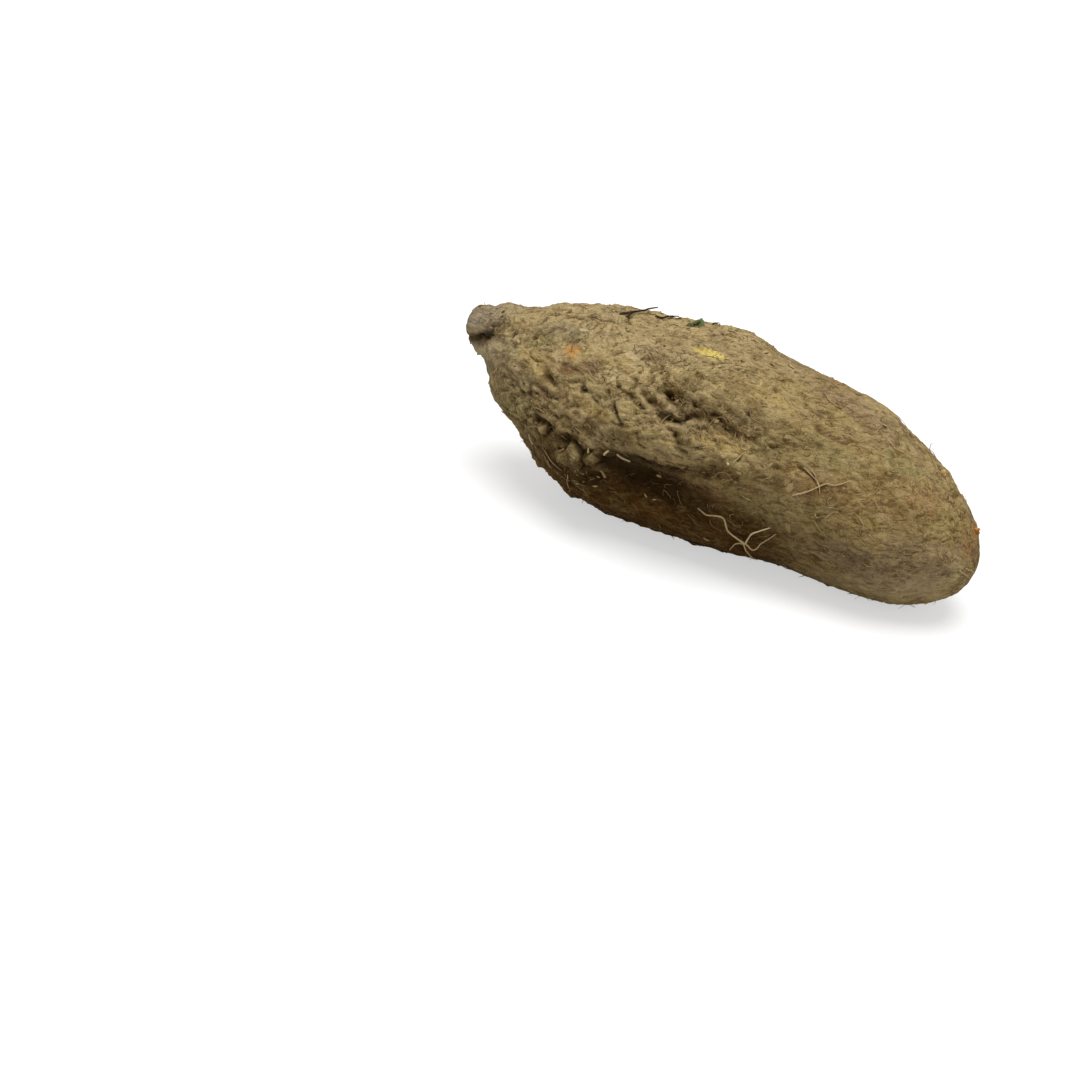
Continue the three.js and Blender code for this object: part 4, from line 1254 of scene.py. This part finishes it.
def make_leaf_scraps(skin, material):
    """Green scraps of leaf caught on top."""
    random = np.random.default_rng(105)
    distance = np.array([118.0, 120.5, 126.0, 116.5])
    angle = np.array([83.0, 81.0, 77.0, 86.0])
    turn, tilt = np.array([(20.0, 38.0), (110.0, 60.0), (-35.0, 24.0), (60.0, 50.0)]).T
    frames = skin_frames(skin, distance, angle, turn, tilt)
    centres = skin.look_up(skin.point, distance, angle) + frames[:, 2] * 0.8
    sizes = np.array([(3.8, 2.0, 0.2), (3.2, 1.8, 0.2), (2.6, 1.4, 0.2), (2.2, 1.3, 0.2)])
    bend = np.array([1.0, 0.7, 0.4, 0.4])
    add_lumps("leaf_scraps", centres, frames, sizes, bend, material, random.random(4), random)


# ---------------------------------------------------------------------------------------------------------
# Materials
# ---------------------------------------------------------------------------------------------------------

LEVEL_TURN = (0.0, -0.126, 0.387)  # turns +X to the way that the skin's streaks run, a little slantwise
SKIN_BUMP = 0.0016  # metres
SCRAP_BUMP = 0.0005


def principled(nodes, colour, height, roughness, bump_distance, bump_strength):
    """A dull shader with its colour, roughness and bump, joined to the output."""
    bump = nodes.add("Bump", Height=height, Distance=bump_distance, Strength=bump_strength).outputs[0]
    inputs = {"Base_Color": colour, "Roughness": roughness, "Specular_IOR_Level": 0.05, "Normal": bump}
    shader = nodes.add("BsdfPrincipled", **inputs)
    nodes.add("OutputMaterial", Surface=shader.outputs[0])


def mottle_group():
    """A shared effect: soft blotches and fine grit over Object coordinates, as two values from 0 to 1. Scale
    is the blotches' scale and Grit is the grit's."""
    tree = bpy.data.node_groups.new("mottle", "ShaderNodeTree")
    for name, start in (("Scale", 300.0), ("Grit", 1500.0)):
        tree.interface.new_socket(name, in_out="INPUT", socket_type="NodeSocketFloat").default_value = start
    for name in ("Blotch", "Grain"):
        tree.interface.new_socket(name, in_out="OUTPUT", socket_type="NodeSocketFloat")
    n = Nodes(tree)
    given = tree.nodes.new("NodeGroupInput").outputs
    spot_at = n.add("TexCoord").outputs["Object"]
    result = tree.nodes.new("NodeGroupOutput").inputs
    blotch = n.noise(spot_at, given["Scale"], 4.0, 0.62, 0.8)
    grain = n.noise(spot_at, given["Grit"], 3.0, 0.7)
    tree.links.new(n.span(blotch, 0.34, 0.66), result["Blotch"])
    tree.links.new(n.span(grain, 0.3, 0.7), result["Grain"])
    return tree


def mottle(nodes, tree, scale, grit):
    """The shared effect's two values in a material."""
    node = nodes.add("Group", {"node_tree": tree}, Scale=scale, Grit=grit)
    return node.outputs["Blotch"], node.outputs["Grain"]


# Finishes of the small pieces: dark, middle and pale tints, and the scale of their blotches.
SCRAPS = {
    "root hair": ((84, 62, 38), (176, 148, 98), (212, 188, 138), 300.0),
    "rootlet": ((142, 108, 68), (196, 166, 114), (222, 202, 158), 300.0),
    "dry soil": ((134, 108, 70), (166, 140, 96), (196, 172, 124), 500.0),
    "bark flake": ((108, 84, 52), (160, 132, 86), (206, 180, 128), 500.0),
    "dead twig": ((58, 46, 34), (88, 72, 52), (120, 102, 76), 700.0),
    "bud": ((196, 132, 62), (206, 160, 92), (216, 188, 128), 700.0),
    "green leaf": ((62, 78, 46), (86, 102, 62), (126, 136, 92), 500.0),
}


def scrap_material(name, shared, dark, middle, pale, scale):
    """A dull finish for small pieces: its colour goes from dark through middle to pale by the piece's own
    tone, then it is mottled and gritty."""
    material, n = new_material(name)
    dark, middle, pale = tint(*dark), tint(*middle), tint(*pale)
    blotch, grain = mottle(n, shared, scale, 1800.0)
    tone = n.attribute("tone")
    colour = n.mix(n.span(tone, 0.05, 0.4), dark, middle)
    colour = n.mix(n.span(tone, 0.4, 0.95), colour, pale)
    colour = n.mix(n.math("MULTIPLY", n.math("SUBTRACT", 1.0, blotch), 0.4), colour, dark)
    colour = n.mix(n.math("MULTIPLY", grain, 0.25), colour, pale)
    principled(n, colour, grain, 0.9, SCRAP_BUMP, 0.6)
    return material


# Areas of the skin in a colour of their own, by their kind in PATCHES: strength and tint.
AREAS = (
    ("ochre", 0.8, (202, 170, 102)),
    ("grey", 0.75, (154, 143, 114)),
    ("brown", 0.8, (136, 106, 76)),
    ("purple", 0.6, (156, 132, 112)),
    ("rust", 0.5, (170, 128, 82)),
    ("olive", 0.7, (158, 148, 98)),
)

# Blotches on the crown's bark: scale, the noise's range over which they come in, strength and tint.
CROWN_BLOTCHES = (
    (110.0, 0.50, 0.60, 0.50, (144, 128, 92)),
    (130.0, 0.52, 0.62, 0.55, (196, 166, 102)),
    (190.0, 0.53, 0.62, 0.40, (208, 186, 140)),
    (235.0, 0.56, 0.64, 0.45, (168, 124, 66)),
    (270.0, 0.58, 0.66, 0.40, (92, 72, 38)),
)

# Scars, by their kind in PATCHES: tint, strength and how much of the area shows it.
SCARS = (
    ("peel", (244, 218, 122), 0.95, 0.38),
    ("orange", (224, 158, 88), 0.8, 0.42),
    ("red", (168, 100, 66), 0.26, 0.5),
    ("pale", (224, 202, 152), 0.8, 0.5),
)


class SkinFields:
    """What the skin's finish is worked out from: the values that the mesh holds, and noises over the skin."""

    def __init__(self, n, shared):
        self.spot_at = n.add("TexCoord").outputs["Object"]
        self.crown = n.attribute("crown")
        self.knob = n.attribute("knob")
        self.gnarl = n.attribute("gnarl")
        self.hollow = n.attribute("hollow")
        grain = n.attribute("grain", "Vector")
        along = n.add("VectorMath", {"operation": "MULTIPLY"}, i0=grain, i1=(0.36, 1.0, 1.0)).outputs[0]
        level = n.math("MULTIPLY", n.attribute("level"), 2.4)
        flat = n.add("VectorMath", {"operation": "SCALE"}, i0=grain, Scale=0.4).outputs[0]
        turned = {"Vector": self.spot_at, "Rotation": LEVEL_TURN, "Scale": (2.6, 1, 1)}
        slant = n.add("Mapping", {"vector_type": "TEXTURE"}, **turned).outputs[0]

        self.blotch, self.grit = mottle(n, shared, 115.0, 1100.0)
        self.broad = n.noise(self.spot_at, 34.0, 3.0, 0.55, 0.6)
        self.hue = n.noise(self.spot_at, 95.0, 4.0, 0.6, 0.8)
        self.patch = n.noise(slant, 260.0, 4.0, 0.65, 1.0)
        self.fibre = n.noise(along, 760.0, 4.0, 0.65, 1.4)
        self.streak = n.noise(slant, 380.0, 4.0, 0.66, 1.4)
        self.fleck = n.noise(self.spot_at, 520.0, 4.0, 0.7, 1.2)
        self.strata = n.noise(flat, 700.0, 4.0, 0.6, 1.0, level)
        self.layers = n.noise(flat, 330.0, 4.0, 0.6, 1.2, level)
        self.crown_noises = [n.noise(flat, row[0], 4.0, 0.55, 1.4, level) for row in CROWN_BLOTCHES]
        self.up = n.add("SeparateXYZ", Vector=n.add("NewGeometry").outputs["Normal"]).outputs["Z"]

        fold = n.math("ABSOLUTE", n.math("SUBTRACT", n.noise(flat, 210.0, 2.0, 0.5, 1.5, level), 0.5))
        coming = n.span(n.noise(self.spot_at, 90.0, 2.0), 0.46, 0.58)
        self.fold = n.math("MULTIPLY", n.math("MULTIPLY", n.span(fold, 0.03, 0.0), coming), self.crown)


def ground_colour(n, f):
    """Broad mottles of brown and ochre, with blotches of bark on the crown and grey soil on the knob."""
    colour = n.mix(n.span(f.broad, 0.34, 0.66), tint(148, 121, 70), tint(170, 143, 92))
    colour = n.lay(colour, f.blotch, 0.8, (180, 155, 104))
    colour = n.lay(colour, n.span(f.hue, 0.46, 0.3), 0.6, (154, 128, 102))
    colour = n.lay(colour, n.span(f.hue, 0.54, 0.68), 0.6, (166, 148, 82))
    for noise, (_, low, high, strength, shade) in zip(f.crown_noises, CROWN_BLOTCHES):
        colour = n.lay(colour, n.math("MULTIPLY", n.span(noise, low, high), f.crown), strength, shade)
    soil = n.math("MULTIPLY", f.crown, n.span(n.noise(f.spot_at, 60.0, 4.0, 0.6, 0.6), 0.46, 0.64))
    soil = n.math("MULTIPLY", soil, 0.4)
    soil = n.math("ADD", soil, n.math("MULTIPLY", f.knob, 0.9), clamp=True)
    return n.mix(soil, colour, tint(154, 142, 122))


def lay_dust_and_top_light(n, f, colour):
    """Pale dust on what faces up, most of it on the crown, and painted light: the crown's upward faces
    painted paler.
    """
    dust = n.span(n.noise(f.spot_at, 230.0, 5.0, 0.7), 0.34, 0.62)
    colour = n.lay(colour, n.math("MULTIPLY", n.span(f.up, 0.25, 1.0), dust), 0.45, (196, 172, 124))
    colour = n.lay(colour, f.crown, 0.16, (226, 196, 136))
    # Painted light: the crown's upward faces painted paler, as if lit from above.
    return n.lay(colour, n.math("MULTIPLY", n.span(f.up, 0.3, 0.9), f.crown), 0.46, (220, 196, 148))


def lay_areas(n, f, colour, share):
    """The coloured areas, a little broken up, at a share of their strength."""
    broken = n.span(f.hue, 0.3, 0.62, 0.45, 1.0)
    for name, strength, shade in AREAS:
        colour = n.lay(colour, n.math("MULTIPLY", n.attribute(name), broken), share * strength, shade)
    return colour


def lay_bark(n, f, colour):
    """Dark and light streaks along the body, torn layers and folds on the crown with painted shade in the
    folds, and fine fibres.
    """
    smooth = n.math("SUBTRACT", 1.0, n.math("MULTIPLY", f.crown, 0.35))
    dark = n.math("MULTIPLY", n.span(f.patch, 0.5, 0.38), 0.75)
    colour = n.mix(n.math("MULTIPLY", dark, smooth), colour, tint(110, 87, 50))
    dark = n.math("MULTIPLY", n.span(f.streak, 0.5, 0.36), n.span(f.gnarl, 0.1, 0.6, 0.66, 1.0))
    colour = n.mix(n.math("MULTIPLY", dark, smooth), colour, tint(90, 69, 39))
    lit = n.math("MULTIPLY", n.span(f.streak, 0.54, 0.68), n.span(f.gnarl, 0.1, 0.6, 0.5, 0.85))
    colour = n.mix(lit, colour, tint(210, 187, 136))
    colour = n.lay(colour, n.math("MULTIPLY", f.crown, n.span(f.layers, 0.49, 0.36)), 0.45, (112, 88, 52))
    colour = n.lay(colour, n.math("MULTIPLY", f.crown, n.span(f.layers, 0.52, 0.64)), 0.3, (206, 180, 124))
    # Painted shade in the bump's fine folds.
    colour = n.lay(colour, f.fold, 0.45, (70, 50, 22))
    colour = n.lay(colour, n.span(f.fibre, 0.47, 0.3), 0.32, (84, 63, 35))
    return n.lay(colour, n.span(f.fibre, 0.56, 0.72), 0.36, (214, 191, 138))


def lay_grit(n, f, colour):
    """Thin strata on the crown, flecks everywhere, both boldest where it is gnarled, and fine dark grit."""
    bolder = n.math("MULTIPLY", f.crown, n.span(f.gnarl, 0.1, 0.6, 0.38, 1.0))
    colour = n.mix(n.math("MULTIPLY", bolder, n.span(f.strata, 0.46, 0.32)), colour, tint(92, 68, 34))
    colour = n.mix(n.math("MULTIPLY", bolder, n.span(f.strata, 0.54, 0.67)), colour, tint(222, 196, 138))
    bolder = n.span(f.gnarl, 0.1, 0.6, 0.4, 1.0)
    colour = n.mix(n.math("MULTIPLY", n.span(f.fleck, 0.55, 0.68), bolder), colour, tint(214, 190, 134))
    colour = n.mix(n.math("MULTIPLY", n.span(f.fleck, 0.45, 0.32), bolder), colour, tint(80, 57, 28))
    return n.lay(colour, n.span(f.grit, 0.35, 0.0), 0.25, (66, 46, 22))


def lay_wear_and_painted_shade(n, f, colour):
    """Ridges painted pale, partly rubbed skin and partly painted highlight; lighter places, mostly painted
    highlights; darker places, mostly painted shade; painted shade under the lobes; dirt and painted shade in
    the hollows; painted shade in the cracks and cavities.
    """
    # Ridges painted pale: partly rubbed skin, partly painted highlight.
    colour = n.lay(colour, n.span(n.attribute("ridge"), 0.04, 0.5), 0.4, (206, 182, 128))
    # Lighter places: mostly painted highlights and bounce light, partly lighter skin.
    colour = n.lay(colour, n.attribute("light"), 0.4, (214, 190, 142))
    # Darker places: mostly painted shade and shadow, partly darker skin.
    colour = n.lay(colour, n.attribute("dark"), 0.8, (160, 146, 122), "MULTIPLY")
    # Painted shade and shadow under the lobes and on the tail half's underside.
    damp = n.math("MULTIPLY", n.attribute("damp"), n.span(f.patch, 0.7, 0.45, 0.75, 1.0))
    colour = n.mix(damp, colour, tint(128, 103, 69), "MULTIPLY")
    # Hollows painted darker: partly dirt, partly painted shade; the deepest ones most.
    colour = n.lay(colour, n.span(f.hollow, 0.05, 0.6), 0.38, (108, 84, 48))
    colour = n.lay(colour, n.span(f.hollow, 0.5, 1.5), 0.45, (54, 38, 14))
    # Painted shade in the creases, pits and nicks.
    colour = n.lay(colour, n.span(n.attribute("crack"), 0.15, 0.9), 0.68, (52, 36, 16))
    # Painted shade in the deep cavities under the lobes.
    return n.lay(colour, n.attribute("cavity"), 0.85, (44, 28, 8))


def lay_scars(n, f, colour):
    """The scars, each frayed by the streaks."""
    for name, shade, strength, cut in SCARS:
        worn = n.math("MULTIPLY", n.attribute(name), n.span(f.streak, cut - 0.09, cut + 0.05))
        colour = n.lay(colour, worn, strength, shade)
    return colour


def bark_height(n, f):
    """The bump's height: fibres, streaks, strata, grit and flecks, less the folds."""
    height = n.math("MULTIPLY", f.fibre, 0.45)
    height = n.math("ADD", height, n.math("MULTIPLY", f.streak, 0.5))
    height = n.math("ADD", height, n.math("MULTIPLY", n.math("MULTIPLY", f.strata, f.crown), 0.5))
    height = n.math("ADD", height, n.math("MULTIPLY", f.grit, 0.12))
    height = n.math("ADD", height, n.math("MULTIPLY", f.fleck, 0.5))
    return n.math("SUBTRACT", height, n.math("MULTIPLY", f.fold, 0.35))


def skin_material(shared):
    """Dry corky skin, from its ground colour up."""
    material, n = new_material("yam skin")
    f = SkinFields(n, shared)
    colour = lay_dust_and_top_light(n, f, ground_colour(n, f))
    colour = lay_areas(n, f, colour, 1.0)
    colour = lay_bark(n, f, colour)
    colour = lay_areas(n, f, colour, 0.22)  # so that they also tinge the streaks and fibres
    colour = n.lay(colour, f.knob, 0.28, (150, 144, 136))
    colour = lay_grit(n, f, colour)
    colour = lay_scars(n, f, lay_wear_and_painted_shade(n, f, colour))
    principled(n, colour, bark_height(n, f), n.span(f.fleck, 0.3, 0.7, 0.98, 0.82), SKIN_BUMP, 1.0)
    return material


# ---------------------------------------------------------------------------------------------------------
# The scene
# ---------------------------------------------------------------------------------------------------------

bpy.context.scene.view_settings.view_transform = "Standard"
make_camera()
make_sun("key", KEY_TURN, KEY_RISE, KEY_STRENGTH, KEY_SPREAD)
make_sun("side", SIDE_TURN, SIDE_RISE, SIDE_STRENGTH, SIDE_SPREAD)
make_sky_and_floor()

skin = Skin()
shared_mottle = mottle_group()
scrap = {name: scrap_material(name, shared_mottle, *finish) for name, finish in SCRAPS.items()}
make_skin_piece(skin, skin_material(shared_mottle))
make_root_hairs(skin, scrap["root hair"])
make_long_fibres(skin, scrap["root hair"])
make_rootlets(skin, scrap["rootlet"])
make_twig(skin, scrap["dead twig"])
make_soil_crumbs(skin, scrap["dry soil"])
make_bark_flakes(skin, scrap["bark flake"])
make_leaf_scraps(skin, scrap["green leaf"])
make_root_stubs(skin, scrap["bark flake"])
make_fringe(skin, scrap["root hair"])
make_buds(skin, scrap["bud"])
